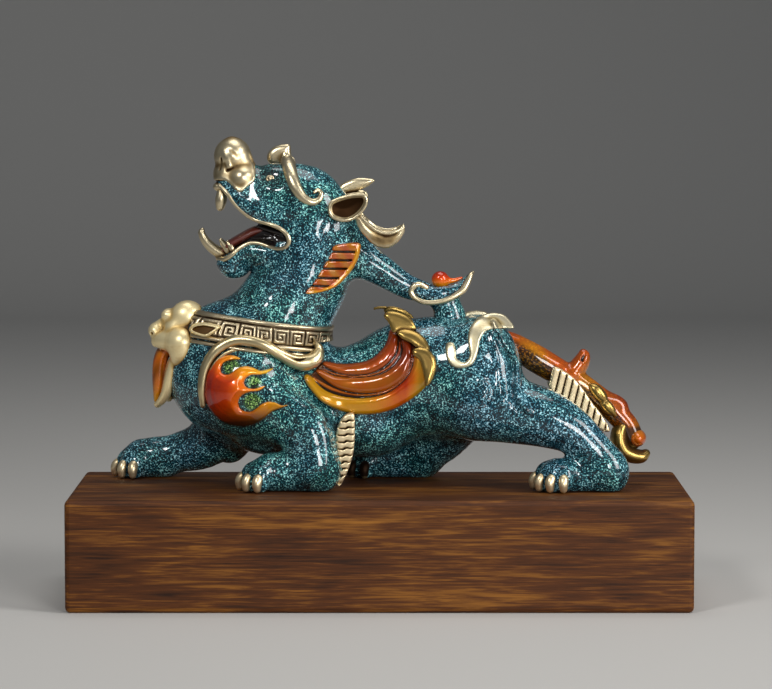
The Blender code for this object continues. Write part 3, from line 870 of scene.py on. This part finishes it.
def makeWing(word, side):
    w = wing
    clay = newClay((-37, 6, 30), (28, 42, 74), 0.36, side)
    inlay(clay, body, w["plate"], 0.6, 0.8)
    for feather, rise in zip(w["feathers"], w["rises"]):
        inlay(clay, body, lambda x, h: outline(x, h, feather) - 0.45, rise, 2.6)
    for line in w["lines"]:
        inlay(clay, body, lambda x, h: stroke(x, h, line), 1.5, 0.5)
    cast(word + "_wing", clay, lacquer, "lacquer", 52000, body, glaze=wingGlaze, dusk=wingDusk)
    clay = newClay((-3, 4, 44), (29, 42, 82), 0.34, side)
    for tip, rise, stand in zip(w["tips"], w["tipRises"], w["stands"]):
        inlay(clay, body, tip, rise, 2.4, stand, 1.4, 12)
    if side == farSide:
        standing(clay, w["hook"], 16.4, 0.8, 1.0)
    cast(word + "_wing_tips", clay, gold, "bronze", 19000, body)


for word, side in namedSides:
    makeWing(word, side)
report("wings")

# Rump scrolls: a flat silver-gold leaf over each hip with a hooked stem.

rump = {
    "rim": [(29.6, 64.9), (32.6, 65), (33.6, 62), (33.9, 58.8), (36.5, 56.9), (38.6, 57.9), (39.6, 60.5),
        (39.1, 63.9), (38.8, 67.8), (40.1, 72.1), (43, 75.3), (47.3, 77.3), (52.2, 77.6), (56, 76.3),
        (59.6, 71.4), (55.1, 71), (50.2, 71.2), (46.6, 69.9), (44.4, 66.8), (43.6, 62.9), (42.6, 59),
        (40.6, 55.9), (36.9, 54.3), (32.8, 54.6), (30, 57.3), (29, 61)],
    "stand": [(66, 19.5), (72, 16), (78, 13)], "farShift": (-7.0, 0.8),
}
for word, side in namedSides:
    shift, drop = rump["farShift"] if side == farSide else (0.0, 0.0)
    clay = newClay((26 + shift, 6, 50), (62 + shift, 36, 82), 0.34, side)
    leaf = lambda x, h: outline(x - shift, h + drop, rump["rim"])
    inlay(clay, body, leaf, 1.3, 0.9, rump["stand"], 1.2, 11)
    cast(word + "_rump_scroll", clay, paleBrass, "bronze", 16000, body)
report("rump scrolls")

# Ribbed fins: one behind the near foreleg, one on each side of the tail.

fins = {
    "leg": {
        "rim": [(-14.8, 33.8), (-11.3, 34), (-10.9, 27), (-11.1, 21), (-12, 15), (-14.2, 8.5), (-17.2, 2.6),
            (-18.8, 3), (-18.5, 9.5), (-18.9, 15.3), (-19.2, 21), (-18.9, 26.6), (-17.2, 31.2)],
        "y": -26.5, "thick": 3.0, "pitch": 3.0, "lean": 6, "shift": 0.2, "wave": 0.09,
    },
    "tail": {
        "rim": [(77.6, 53.1), (82.4, 51.2), (87.3, 47.3), (91.2, 42.4), (95.1, 36.6), (99, 31.7),
            (102.6, 24.6), (98, 25), (90.3, 30), (83, 35.5), (75.8, 43), (76.1, 48.3)],
        "y": -7.3, "thick": 1.8, "pitch": 3.2, "lean": -104, "shift": 0.5, "wave": 0.0,
    },
}


def makeFin(name, fin, y):
    corners = np.array(fin["rim"], float)
    (left, bottom), (right, top) = corners.min(0) - 3, corners.max(0) + 3
    clay = newClay((left, y - 7, bottom), (right, y + 7, top), 0.34)
    x, yy, h = allOf(clay)
    s = outline(x[:, 0], h[0], fin["rim"])
    turn = math.radians(fin["lean"])
    along = (h[0] * math.cos(turn) - x[:, 0] * math.sin(turn)) / fin["pitch"]
    wave = fin["wave"] * np.sin(h[0] * 1.9 + x[:, 0] * 1.3)
    rib = np.abs(((along + wave + fin["shift"]) % 1) - 0.5) * 2
    rimmed = share(-s - 0.25, 0.4)
    thick = fin["thick"] + 0.25 - 1.1 * rimmed * share(rib - 0.76, 0.16) - 0.7 * share(1 + s, 1) ** 2
    plate = np.maximum(s[:, None, :], np.abs(yy - y) - thick[:, None, :]).astype(np.float32)
    clay["field"] = union(clay["field"], plate, 0.1)
    level(clay, 0.35)
    cast(name, clay, ivory, "bronze", 18000)


makeFin("leg_fin", fins["leg"], fins["leg"]["y"])
for word, side in namedSides:
    makeFin(word + "_tail_fin", fins["tail"], fins["tail"]["y"] * -side)
report("fins")

# Tail: glazed orange above, dark and mottled below, with leaf knobs, two gold lobes on each side and a gold
# roll that wraps an orange ball at its end.

tail = {
    "root": [(40, 62, 7), (52, 64, 5.6), (59, 62.4, 5.4), (64, 59.8, 5.7), (70, 56, 6.3), (76, 52.4, 6.2),
        (82, 49, 5.8), (88, 45.6, 5.6), (94, 41.4, 5.4), (101, 36.2, 5.2), (106.4, 31, 5.2), (110.6, 26, 5.3),
        (112.8, 20.6, 5.4)],
    "knob": [(87, 50, 4.4), (90, 54.4, 3.8), (91.2, 57.2, 2.9), (91.0, 58.6, 2.0)],
    "second": [(101, 37.5, 3.6), (105, 37, 3.3), (108, 35.2, 3.0), (109.2, 33.4, 2.2)],
    "roll": [(110.4, 27.4, 2.0), (107.8, 24.4, 3.4), (107.2, 19.6, 4.0), (109.2, 15.0, 4.0),
        (113.0, 12.8, 3.6), (117.0, 12.2, 3.0), (119.4, 13.6, 1.9)],
    "lobes": [[(94.0, 4.6, 44.4, 1.2), (96.4, 5, 42.4, 2.7), (99, 5, 39.4, 2.6), (101, 4.6, 37, 1.2)],
        [(98.6, 4.6, 37.6, 1.0), (100.8, 5, 36.0, 2.5), (103, 5, 33.6, 2.3), (105.2, 4.6, 31.2, 0.9)]],
    "stem": [(97, 40.4, 3.4), (103, 34, 3.0)],
    "fold": [(90.2, 3.4, 52, 0.3), (90.4, 3.6, 56, 0.7), (91.8, 2.8, 59, 0.4)],
    "ridge": [(78, 3.6, 55.4, 0.6), (86, 4.6, 50.6, 0.7), (94, 4.6, 45, 0.7), (101, 4.2, 39, 0.7),
        (108, 3.4, 32, 0.6)],
    "ball": ((115.4, 0, 20.6), (4.0, 8.6, 4.0)),
}


def tailAxis(x):
    xs, hs, _ = zip(*tail["root"])
    return np.interp(x, xs, hs)


def tailGlaze(p):
    return np.clip(0.3 + 0.02 * (p[:, 2] - tailAxis(p[:, 0])) + 0.14 * np.sin(p[:, 0] / 4.0), 0.15, 0.7)


def tailDarkAndShade(p):
    # dark below, with amber spots breaking through, and painted shade inside the roll at the end
    x, y, h = p.T
    spots = np.sin(3.1 * x + 1.7 * np.sin(2.3 * h)) * np.sin(3.7 * h + 1.3 * np.sin(2.9 * x + y))
    top = 5.8 - 1.6 * share(x - 78, 8)
    under = np.clip((tailAxis(x) + top - h) / 4.2, 0.55 + 0.15 * share(x - 97, 6), 0.97)
    # painted shade inside the gold roll
    rolled = share(28.5 - h, 3) * (x > 104)
    return np.maximum(under * (1 - 0.5 * share(2.4 * spots - 0.7, 1)), 0.94 * rolled)


def makeTail():
    clay = newClay((44, -12, 10), (123, 12, 74), 0.4)
    limb(clay, tail["root"], 2)
    for name in ("knob", "second"):
        limb(clay, tail[name], 1.6, press=((0, 1, 0), 0.8))
    for side in sides:
        limb(clay, tail["fold"], 0.6, side, work=shave)
        limb(clay, tail["ridge"], 0.7, side)
    cast("tail", clay, lacquer, "lacquer", 34000, glaze=tailGlaze, dusk=tailDarkAndShade)
    clay = newClay((98, -12, 6), (124, 12, 32), 0.34)
    limb(clay, tail["roll"], 0.6, press=((0, 1, 0), 0.5))
    cast("tail_roll", clay, gold, "bronze", 16000)
    clay = newClay((108, -11, 12), (123, 11, 28), 0.34)
    ball(clay, tail["ball"], 1)
    fading = lambda p: 0.5 - 0.05 * (p[:, 2] - 20.6)
    cast("tail_ball", clay, lacquer, "lacquer", 6000, glaze=fading, dusk=lambda p: np.full(len(p), 0.35))
    clay = newClay((88, -12, 26), (109, 12, 48), 0.34)
    for side in sides:
        for lobe in tail["lobes"]:
            limb(clay, lobe, 0.3, side)
    limb(clay, tail["stem"], 0.5, press=((0, 1, 0), 0.62))
    cast("tail_lobes", clay, gold, "bronze", 10000)


makeTail()
report("tail")

# Lion mask on the breast: brass, with an open mouth, a glazed tongue hanging over the lower jaw.

mask = {
    "skull": ((-86, 0, 73), (8.6, 9, 8.2)),
    "crown": ((-86, 4.0, 75.6), (7, 5.6, 6.4)),
    "brow": ((-94.7, 3.3, 75.8), (2.8, 3.0, 2.7)),
    "cheekbone": ((-91.4, 5.0, 70.2), (4.4, 4.2, 3.8)),
    "bridge": [(-90, 74, 4.2), (-96, 71.6, 3.4), (-99.6, 69.8, 2.8)],
    "nostril": ((-100.2, 1.5, 68.6), (3.1, 3.4, 3.1)),
    "muzzle": [(-98.2, 3.2, 64.4, 3.8), (-95, 5.8, 64.8, 4.6), (-90.6, 8.0, 64.6, 5.6)],
    "cheek": [(-87.8, 9.3, 63.8, 6.8), (-87.6, 9.2, 59.4, 6.0), (-89, 7.6, 55.4, 4.0)],
    "jaw": [(-91.4, 7.6, 54.5, 2.7), (-93.4, 6.8, 48, 2.6), (-95, 5.4, 42, 2.4), (-97.4, 3.2, 37.8, 1.9),
        (-99.4, 35.8, 1.5)],
    "plate": [(-89, 56, 7.4), (-92, 48, 6.8), (-95.4, 41, 4.4)],
    "ear": [(-84.6, 70.6), (-82.6, 73), (-78.4, 74), (-74, 73.6), (-69.8, 72.4), (-72.4, 69.6), (-76.6, 67.2),
        (-80.6, 67.8), (-83.6, 69)],
    "mouth": [(-91, 60, 3.4), (-98, 59, 4.0), (-105, 55, 4.4)],
    "holes": [(((-101.9, 4.4, 67.8), (0.8, 0.9, 0.8)), 0.4), (((-97.2, 4.6, 73.4), (0.9, 0.9, 0.9)), 0.3)],
    "tongue": [(-91, 61.4, 4.2), (-96, 59.8, 3.4), (-98.2, 55, 3.2), (-98.8, 48, 3.1), (-99.2, 42.5, 2.5),
        (-100, 37.8, 1.3)],
    "tongueGroove": [(-102.4, 57, 0.5), (-102.4, 48, 0.6), (-101.4, 41, 0.3)],
}


def maskEarShade(p):
    # painted shade in the ears
    return share(-(outline(p[:, 0], p[:, 2], mask["ear"]) + 1.4), 0.5) * (np.abs(p[:, 1]) > 7) * 0.8


def makeMask():
    m = mask
    clay = newClay((-105, -25, 31), (-68, 25, 85), 0.38)
    ball(clay, m["skull"], 2)
    limb(clay, m["bridge"], 2)
    limb(clay, m["plate"], 2, press=((1, 0, 0.35), 1.7))
    for side in sides:
        for name, soft in (("crown", 2.4), ("cheekbone", 3.4), ("brow", 1.8), ("nostril", 1.6)):
            ball(clay, m[name], soft, side)
        limb(clay, m["muzzle"], 1.8, side)
        limb(clay, m["cheek"], 1.6, side)
    limb(clay, m["mouth"], 1.0, press=((0, 1, 0), 0.62), work=shave)
    for side in sides:
        limb(clay, m["jaw"], 1.0, side)
        for k in range(3):  # fangs and teeth
            root = (-97.4 + 3.1 * k, 4.4 + 0.9 * k, 63.4, 1.1)
            point = (-97.8 + 3.0 * k, 4.2 + 0.9 * k, 60.6 + 0.4 * k, 0.4)
            limb(clay, [root, point], 0.3, side)
            ball(clay, ((-92.6 - 1.6 * k, 5.8 - 0.8 * k, 51.0 - 4.2 * k), (1.5, 1.2, 1.5)), 0.4, side)
        for hole, soft in m["holes"]:
            ball(clay, hole, soft, side, work=shave)
    inlay(clay, body, m["ear"], 4.2, 1.4, soft=0.6)  # ears lie over the collar
    deep = np.maximum(flatOf(clay, m["ear"]) + 1.5, 2.6 - onto(body, clay))
    clay["field"] = shave(clay["field"], deep.astype(np.float32), 0.5)
    cast("lion_mask", clay, maskBrass, "bronze", 60000, body, dusk=maskEarShade)
    clay = newClay((-104, -7, 34), (-84, 7, 67), 0.36)
    limb(clay, m["tongue"], 1, press=((0, 1, 0), 0.75))
    limb(clay, m["tongueGroove"], 0.8, work=shave)
    fading = lambda p: np.clip(0.4 - 0.3 * (45 - p[:, 2]) / 6, 0.1, 0.4)
    mottled = lambda p: 0.45 + 0.2 * np.sin(p[:, 2] * 0.5 + p[:, 1] * 1.3)
    cast("lion_tongue", clay, lacquer, "lacquer", 9000, glaze=fading, dusk=mottled)


makeMask()
report("lion mask")

# Head trims: waxed brass lips with teeth, nose, ears, brows and eyes, and a lacquered comb over each gill.

trims = {
    "curl": [(-66, 101.2, 3.0), (-70, 102.8, 2.6), (-74.5, 105.6, 2.4), (-77.8, 109, 2.0),
        (-79.4, 112.4, 1.6), (-79.2, 113.6, 1.2)],
    "teeth": [[(-66.5, 3.6, 103.5, 1.8), (-68.8, 3.6, 106.5, 1.4), (-71, 3.6, 109.6, 0.6)],
        [(-64.8, 5, 104.2, 1.5), (-66.2, 5.2, 106.6, 1.2), (-68, 5, 108.8, 0.5)],
        [(-70.4, 4.6, 131, 1.9), (-70.7, 4.8, 127.4, 2.4), (-71, 4.6, 124.2, 1.8)]],
    "nose": [(-65.5, 146.8, 8.3), (-62.6, 141.4, 7.2)],
    "noseRim": [(-57.4, 147), (-55.4, 142), (-55.4, 136.6), (-58.8, 133.2), (-62.4, 131), (-66.2, 134.6),
        (-70, 136.4), (-80, 136.4), (-80, 158), (-60, 160)],
    "folds": [
        ([(-70.2, 6.2, 146, 0.4), (-70.7, 6.7, 143.4, 0.9), (-71.2, 6.2, 141, 0.6)], 0.5),
        ([(-67.6, 7.6, 140.6, 0.5), (-64.6, 8.8, 142.2, 0.7), (-61.4, 8.8, 143.6, 0.8),
            (-58, 7.6, 143.6, 0.9)], 0.7),
        ([(-66.6, 8.2, 150, 0.4), (-64.2, 8.7, 148, 0.8), (-61.8, 8.5, 146, 0.4)], 0.8),
    ],
    "ridge": [(-68.8, 6.0, 149, 0.6), (-67.7, 7.0, 146, 0.9), (-66.6, 7.2, 142.6, 0.8)],
    "tongue": [(-50, 114.6, 2.2), (-56, 113, 2.4), (-61.2, 110.4, 2.3), (-67, 107.2, 2.0), (-69.6, 105, 1.4)],
    "wingLobe": ((-61.0, 4.2, 137.0), (6.4, 7.2, 6.0)),
    "smallLobe": ((-69.0, 4.2, 137), (2.8, 3.2, 2.8)),
    "knob": ((-71.4, 3.8, 133.2), (2.7, 2.8, 2.1)),
    "brow": [(-42.4, 147.6, 1.8), (-41.6, 145.6, 2.7), (-40.7, 143, 3.1), (-39.1, 138, 3.0),
        (-36.8, 132.8, 2.6), (-33.6, 128.6, 2.1), (-29.8, 126.6, 1.6), (-26.8, 127.8, 1.3), (-26, 130.4, 1.1),
        (-27.6, 131.8, 0.9), (-29, 130.8, 0.6)],
    "crest": [(-50.4, 144.6), (-50, 148), (-47.4, 150.6), (-43.6, 151.8), (-40.2, 151.6), (-39.6, 147.6),
        (-39, 143.4), (-42.6, 141.6), (-47.6, 142.4)],
    "ear": [(-22.2, 123.8), (-20.8, 127.2), (-14, 129.6), (-7.4, 130), (-5.8, 127), (-8, 122.8), (-12, 119.6),
        (-16.8, 118.9), (-21, 120.7)],
    "leaf": [(-19.3, 129.4), (-18, 133), (-14.5, 135.2), (-9.6, 136.5), (-2.3, 135.8), (-4.5, 133.2),
        (-9, 130.9), (-13.9, 129.4)],
    "tuft": [(-11, 121), (-7, 119.6), (-4.5, 116.2), (-1.1, 113.8), (2.8, 112.6), (6.7, 113.2), (10.6, 115.6),
        (11.2, 114), (9.4, 110.6), (6.7, 107.8), (2.8, 106.2), (-2.1, 107.4), (-6, 111), (-9.6, 115.4)],
    "tuftEdge": [(-8.4, 14, 120.4, 0.9), (-4.6, 14.6, 116.6, 0.9), (-1.1, 14.8, 114.2, 0.9),
        (2.8, 14.8, 113, 0.9), (6.7, 14.8, 113.6, 0.8), (10.8, 14.4, 115.6, 0.4)],
    "crestFold": [(-47, 9.4, 151, 0.3), (-44.6, 10.2, 147, 0.8), (-44, 10, 143, 0.5)],
    "eye": (-48.5, 137), "gillGrooves": [105.0, 101.2, 97.4, 93.2, 89.6],
    "gill": [(-19.6, 107.8), (-9.4, 108.6), (-8.6, 105), (-10.4, 99.6), (-14.2, 94), (-20.9, 88.6),
        (-32.4, 86.6), (-29, 91.6), (-24.6, 98.7), (-21.4, 104.2)],
}


def makeNose():
    t = trims
    clay = newClay((-78, -14, 126), (-50, 14, 159), 0.34)
    inlay(clay, body, t["noseRim"], 0.8, 0.8)
    limb(clay, t["nose"], 1.4)
    for side in sides:
        for name in ("wingLobe", "smallLobe", "knob"):
            ball(clay, t[name], 1.2, side)
        for fold, soft in t["folds"]:
            limb(clay, fold, soft, side, work=shave)
        limb(clay, t["ridge"], 1.2, side)
    cast("nose", clay, brass, "bronze", 32000, body)


def makeLips():
    clay = newClay((-84, -19, 97), (-36, 19, 137), 0.34)
    for side in sides:
        limb(clay, head["lipLine"][1:], 0.6, side)
        for tooth in trims["teeth"]:
            limb(clay, tooth, 0.4, side)
    limb(clay, trims["curl"], 0.6, press=((0, 1, 0), 0.8))
    cast("lips_and_teeth", clay, brass, "bronze", 34000, body)
    clay = newClay((-74, -10, 98), (-44, 10, 120), 0.34)
    limb(clay, trims["tongue"], 1, press=((0, 1, 0), 0.34))
    cast("tongue", clay, flesh, "lacquer", 6000)


def earShade(p):
    # painted shade in the funnel, and a little painted shade towards the bottom of the tuft
    x, y, h = p.T
    inside = share(-(outline(x, h, trims["ear"]) + 1.1), 0.5) * share(19.6 + 0.1 * (x + 14) - np.abs(y), 1)
    return inside * 0.8 + np.clip((113.5 - h) / 8, 0, 0.35)


def makeEar(word, side):
    t = trims
    clay = newClay((-27, 4, 102), (16, 27, 141), 0.34, side)
    ball(clay, ((-13.6, 11.4, 124.2), (7.2, 6.4, 5.2)), 1, side, tilt=14)
    x, y, _ = allOf(clay)
    s = flatOf(clay, t["ear"])
    lean = 19 + 0.1 * (x + 14)  # the open edge turns out towards the back
    tube = np.hypot(s, np.abs(y) - lean) - 0.75
    deep = np.abs(y) - (lean - 3.6 * np.sqrt(share(-s, 5.4)))
    bowl = np.maximum(np.maximum(np.maximum(np.abs(y) - lean, s), deep), 10 - np.abs(y))
    clay["field"] = np.minimum(np.maximum(clay["field"], deep), np.minimum(tube, bowl)).astype(np.float32)
    standing(clay, t["tuft"], 13.6, 1.5, 2.4)
    limb(clay, t["tuftEdge"], 0.6, side)
    if side == farSide:
        standing(clay, t["leaf"], 15, 1.6, 2.6)
    cast(word + "_ear", clay, brass, "bronze", 26000, body, dusk=earShade)


def makeBrow(word, side):
    clay = newClay((-54, 2, 120), (-20, 22, 155), 0.34, side)
    ribbon(clay, body, trims["brow"], side, 0.8, 1.25)
    if side == farSide:
        standing(clay, trims["crest"], 7.5, 2.2, 3.0)
        limb(clay, trims["crestFold"], 1.0, work=shave)
    cast(word + "_brow", clay, brass, "bronze", 12000, body)
    clay = newClay((-54, 5, 132), (-43, 17, 142), 0.26, side)
    ex, eh = trims["eye"]
    y, _ = skinAt(body, ex, eh, side)
    turn = [(ex + 1.5 * math.cos(a), y, eh + 1.2 * math.sin(a), 0.45) for a in np.linspace(0, 2 * math.pi, 9)]
    limb(clay, turn, 0.3)
    ball(clay, ((ex, y, eh), (0.8, 0.8, 0.8)), 0.3)
    cast(word + "_eye", clay, collarBrass, "bronze", 5000)


def gillEdge(p):
    # the outer rim is paler
    return 0.3 * share(outline(p[:, 0] + 2.0, p[:, 2] - 0.9, trims["gill"]), 0.8)


def gillGlaze(p):
    return np.clip(0.4 + 0.14 * np.sin(p[:, 0] * 0.9 + p[:, 2] * 0.5) - gillEdge(p), 0.1, 0.7)


def gillDusk(p):
    return np.clip((0.75 - sampleAt(body, body["field"], p)) / 0.3, 0.55 - gillEdge(p), 1)


def makeGill(word, side):
    rim = trims["gill"]
    clay = newClay((-36, 8, 83), (-5, 30, 112), 0.32, side)
    skin = onto(body, clay)
    x, _, h = allOf(clay)
    x, h = x[:, 0], h[0]
    s = outline(x, h, rim)
    slat = np.min([np.abs(h - g + 0.05 * (x + 20)) for g in trims["gillGrooves"]], axis=0)
    right = outline(x + 2.0, h - 0.9, rim)
    groove = np.clip(1 - (slat - 0.22) / 0.34, 0, 1) * share(-right, 0.5)
    top = 1.7 - 1.5 * groove + 0.5 * share(right, 1) - 0.6 * np.clip(1 + s / 0.8, 0, 1) ** 2
    slats = np.maximum(np.maximum(skin - top[:, None, :], s[:, None, :]), -skin - 1)
    clay["field"] = slats.astype(np.float32)
    cast(word + "_gill_comb", clay, lacquer, "lacquer", 22000, body, glaze=gillGlaze, dusk=gillDusk)


# Tongue: red wax rubbed over bronze, dull and dark between the bright teeth.
redWax = {"Base Color": linear("#5a2115"), "Roughness": 0.4, "Coat Weight": 0.6}
flesh = newMaterial("dull red wax", **redWax)[0]
makeNose()
makeLips()
for make in (makeEar, makeBrow, makeGill):
    for word, side in namedSides:
        make(word, side)
report("head trims")

# Horn cup: an open enamelled leaf at the end of the horn, brass rimmed, with a red-orange bead in it.

cup = {
    "leaf": [(15, 87.5, 4.4), (22, 85.4, 4.6), (29, 85.8, 4.4), (36, 88, 3.0), (40, 93, 1.2)],
    "stem": [(27, 84, 5.5), (30.5, 78, 6.6), (32, 70, 8.2)],
    "bowl": [(18, 91, 1.6), (26, 90.6, 2.6), (33, 92.4, 2.0), (38, 96, 1.0)],
    "bead": ((27, 0, 91.6), (3.9, 3.9, 3.8)), "drop": [(29, 91, 1.6), (33, 91.2, 1.1), (36.5, 92.4, 0.6)],
    "rim": [(20.6, -4.5, 88.2, 1.5), (18.2, -5.6, 89.8, 1.2), (15.8, -6, 89.4, 1.2), (14, -6, 87, 1.2),
        (14.9, -6.2, 84.6, 1.2), (17.8, -6.4, 82.6, 1.2), (21.6, -6.6, 81.7, 1.2), (25.8, -6.6, 82, 1.2),
        (30.4, -6.4, 83.1, 1.3), (34, -5.8, 84.9, 1.5), (37, -4.6, 87.2, 1.6), (39, -3, 90.4, 1.6),
        (40.6, -1.4, 93.6, 1.1), (41.8, 95, 0.5)],
}


def makeCup():
    clay = newClay((8, -14, 64), (46, 14, 98), 0.4)
    limb(clay, cup["leaf"], 1.5, press=((0, 1, 0), 0.72))
    limb(clay, cup["stem"], 3)
    limb(clay, cup["bowl"], 1.5, press=((0, 1, 0), 0.5), work=shave)
    cast("horn_cup", clay, enamel, "enamel", 20000)
    clay = newClay((10, -10, 78), (45, 10, 98), 0.34)
    for side in sides:
        limb(clay, cup["rim"], 0.5, side)
    cast("cup_rim", clay, brass, "bronze", 14000)
    clay = newClay((18, -7, 84), (38, 7, 98), 0.34)
    ball(clay, cup["bead"], 1)
    limb(clay, cup["drop"], 1.5)
    rising = lambda p: np.clip(0.4 + 0.12 * (p[:, 2] - 90.5), 0.1, 1)
    cast("cup_bead", clay, lacquer, "lacquer", 5000, glaze=rising)


makeCup()
report("horn cup")

# Walnut plinth: oiled dark walnut, long straight grain with a few paler streaks.

walnutFinish = {  # noises of streaks, patches and pores: length, thickness, detail
    "stops": [(0.34, "#241003"), (0.5, "#4c2709"), (0.67, "#8a581c")],
    "noises": [(26.0, 1.1, 6.0), (70.0, 10.0, 3.0), (7.0, 0.4, 2.0)],
}


def makeWalnut():
    w = walnutFinish
    material, tree, shader = newMaterial("oiled walnut", **{"Roughness": 0.55, "Specular IOR Level": 0.2})
    place = addNode(tree, "TexCoord").outputs["Object"]
    noises = []
    for long, thick, detail in w["noises"]:
        scales = (1 / (long * mm), 1 / (2 * thick * mm), 1 / (thick * mm))
        scaled = addNode(tree, "Mapping", {"Scale": scales, "Vector": place})
        rough = {"Scale": 1.0, "Detail": detail, "Roughness": 0.62, "Distortion": 0.5}
        noises.append(addNode(tree, "TexNoise", {"Vector": scaled, **rough}))
    streak, patch, pores = noises
    broad = addNode(tree, "Math", {0: patch, 1: 0.45}, operation="MULTIPLY")
    total = addNode(tree, "Math", {0: streak, 1: 0.55, 2: broad}, operation="MULTIPLY_ADD")
    colour = addNode(tree, "ValToRGB", {"Fac": total}, w["stops"])
    bump = addNode(tree, "Bump", {"Strength": 0.3, "Distance": 0.2 * mm, "Height": pores})
    feed(tree, shader, {"Base Color": colour, "Normal": bump})
    return material


bpy.data.objects["plinth"].material_slots[0].material = makeWalnut()
report("walnut plinth")

# Camera, floor and light.

cameraSettings = {"distance": 1.555, "height": 0.188, "shift": 2.8 * mm, "pitch": 4.59, "lens": 163.5}


def makeCamera():
    c = cameraSettings
    camera = bpy.data.objects.new("camera", bpy.data.cameras.new("camera"))
    camera.location = (middleX + c["shift"], -c["distance"], deckTop + c["height"])
    camera.rotation_euler = (math.radians(90 - c["pitch"]), 0, 0)
    camera.data.lens = c["lens"]
    camera.data.sensor_width = 36
    bpy.context.scene.collection.objects.link(camera)
    bpy.context.scene.camera = camera


studio = {  # floor from front to back, half its width, and the bend up to the wall
    "floor": "#b9b6b1", "air": "#8f959c", "airStrength": 0.42,
    "front": -5.0, "back": 2.3, "rise": 2.6, "bend": 0.6, "half": 5.0,
}


def makeStudio():
    s = studio
    mesh = bpy.data.meshes.new("floor")
    start, bend = s["back"] - s["bend"], s["bend"]
    profile = [(s["front"], 0.0), (start, 0.0)]
    profile += [(start + bend * math.sin(a), bend - bend * math.cos(a))
        for a in np.linspace(0.1, math.pi / 2, 12)]
    profile.append((s["back"], s["rise"]))
    points = [(x, y, z) for y, z in profile for x in (-s["half"], s["half"])]
    mesh.from_pydata(points, [], [(k, k + 1, k + 3, k + 2) for k in range(0, 2 * len(profile) - 2, 2)])
    mesh.shade_smooth()
    paint = newMaterial("painted studio floor", **{"Base Color": linear(s["floor"]), "Roughness": 0.6})[0]
    mesh.materials.append(paint)
    floor = bpy.data.objects.new("floor", mesh)
    floor.location.z = plinthLow[2]
    bpy.context.scene.collection.objects.link(floor)
    world = bpy.data.worlds.new("studio air")
    bpy.context.scene.world = world
    world.use_nodes = True
    air = {"Color": linear(s["air"]), "Strength": s["airStrength"]}
    feed(world.node_tree, world.node_tree.nodes["Background"], air)


def addLight(name, place, size, power, spread):
    # a rectangular softbox aimed at the middle of the object; size and place in metres, spread in degrees
    light = bpy.data.lights.new(name, "AREA")
    light.shape = "RECTANGLE"
    light.size, light.size_y = size
    light.energy = power
    light.spread = math.radians(spread)
    lamp = bpy.data.objects.new(name, light)
    lamp.location = place
    lamp.rotation_euler = (Vector((0, 0, 0.1)) - Vector(place)).to_track_quat("-Z", "Y").to_euler()
    bpy.context.scene.collection.objects.link(lamp)


makeCamera()
makeStudio()
addLight("key softbox", (-0.55, -0.9, 0.95), (0.26, 0.26), 1.7, 100)
addLight("right softbox", (0.95, -0.55, 0.6), (0.36, 0.9), 3.4, 100)
addLight("front softbox", (0.45, -1.25, 0.40), (0.38, 0.38), 2.15, 100)
addLight("top softbox", (0.1, 0.1, 1.3), (0.9, 0.6), 5, 180)
# plain film, which keeps the glaze colours saturated
bpy.context.scene.view_settings.view_transform = "Standard"
report("camera, floor and light")
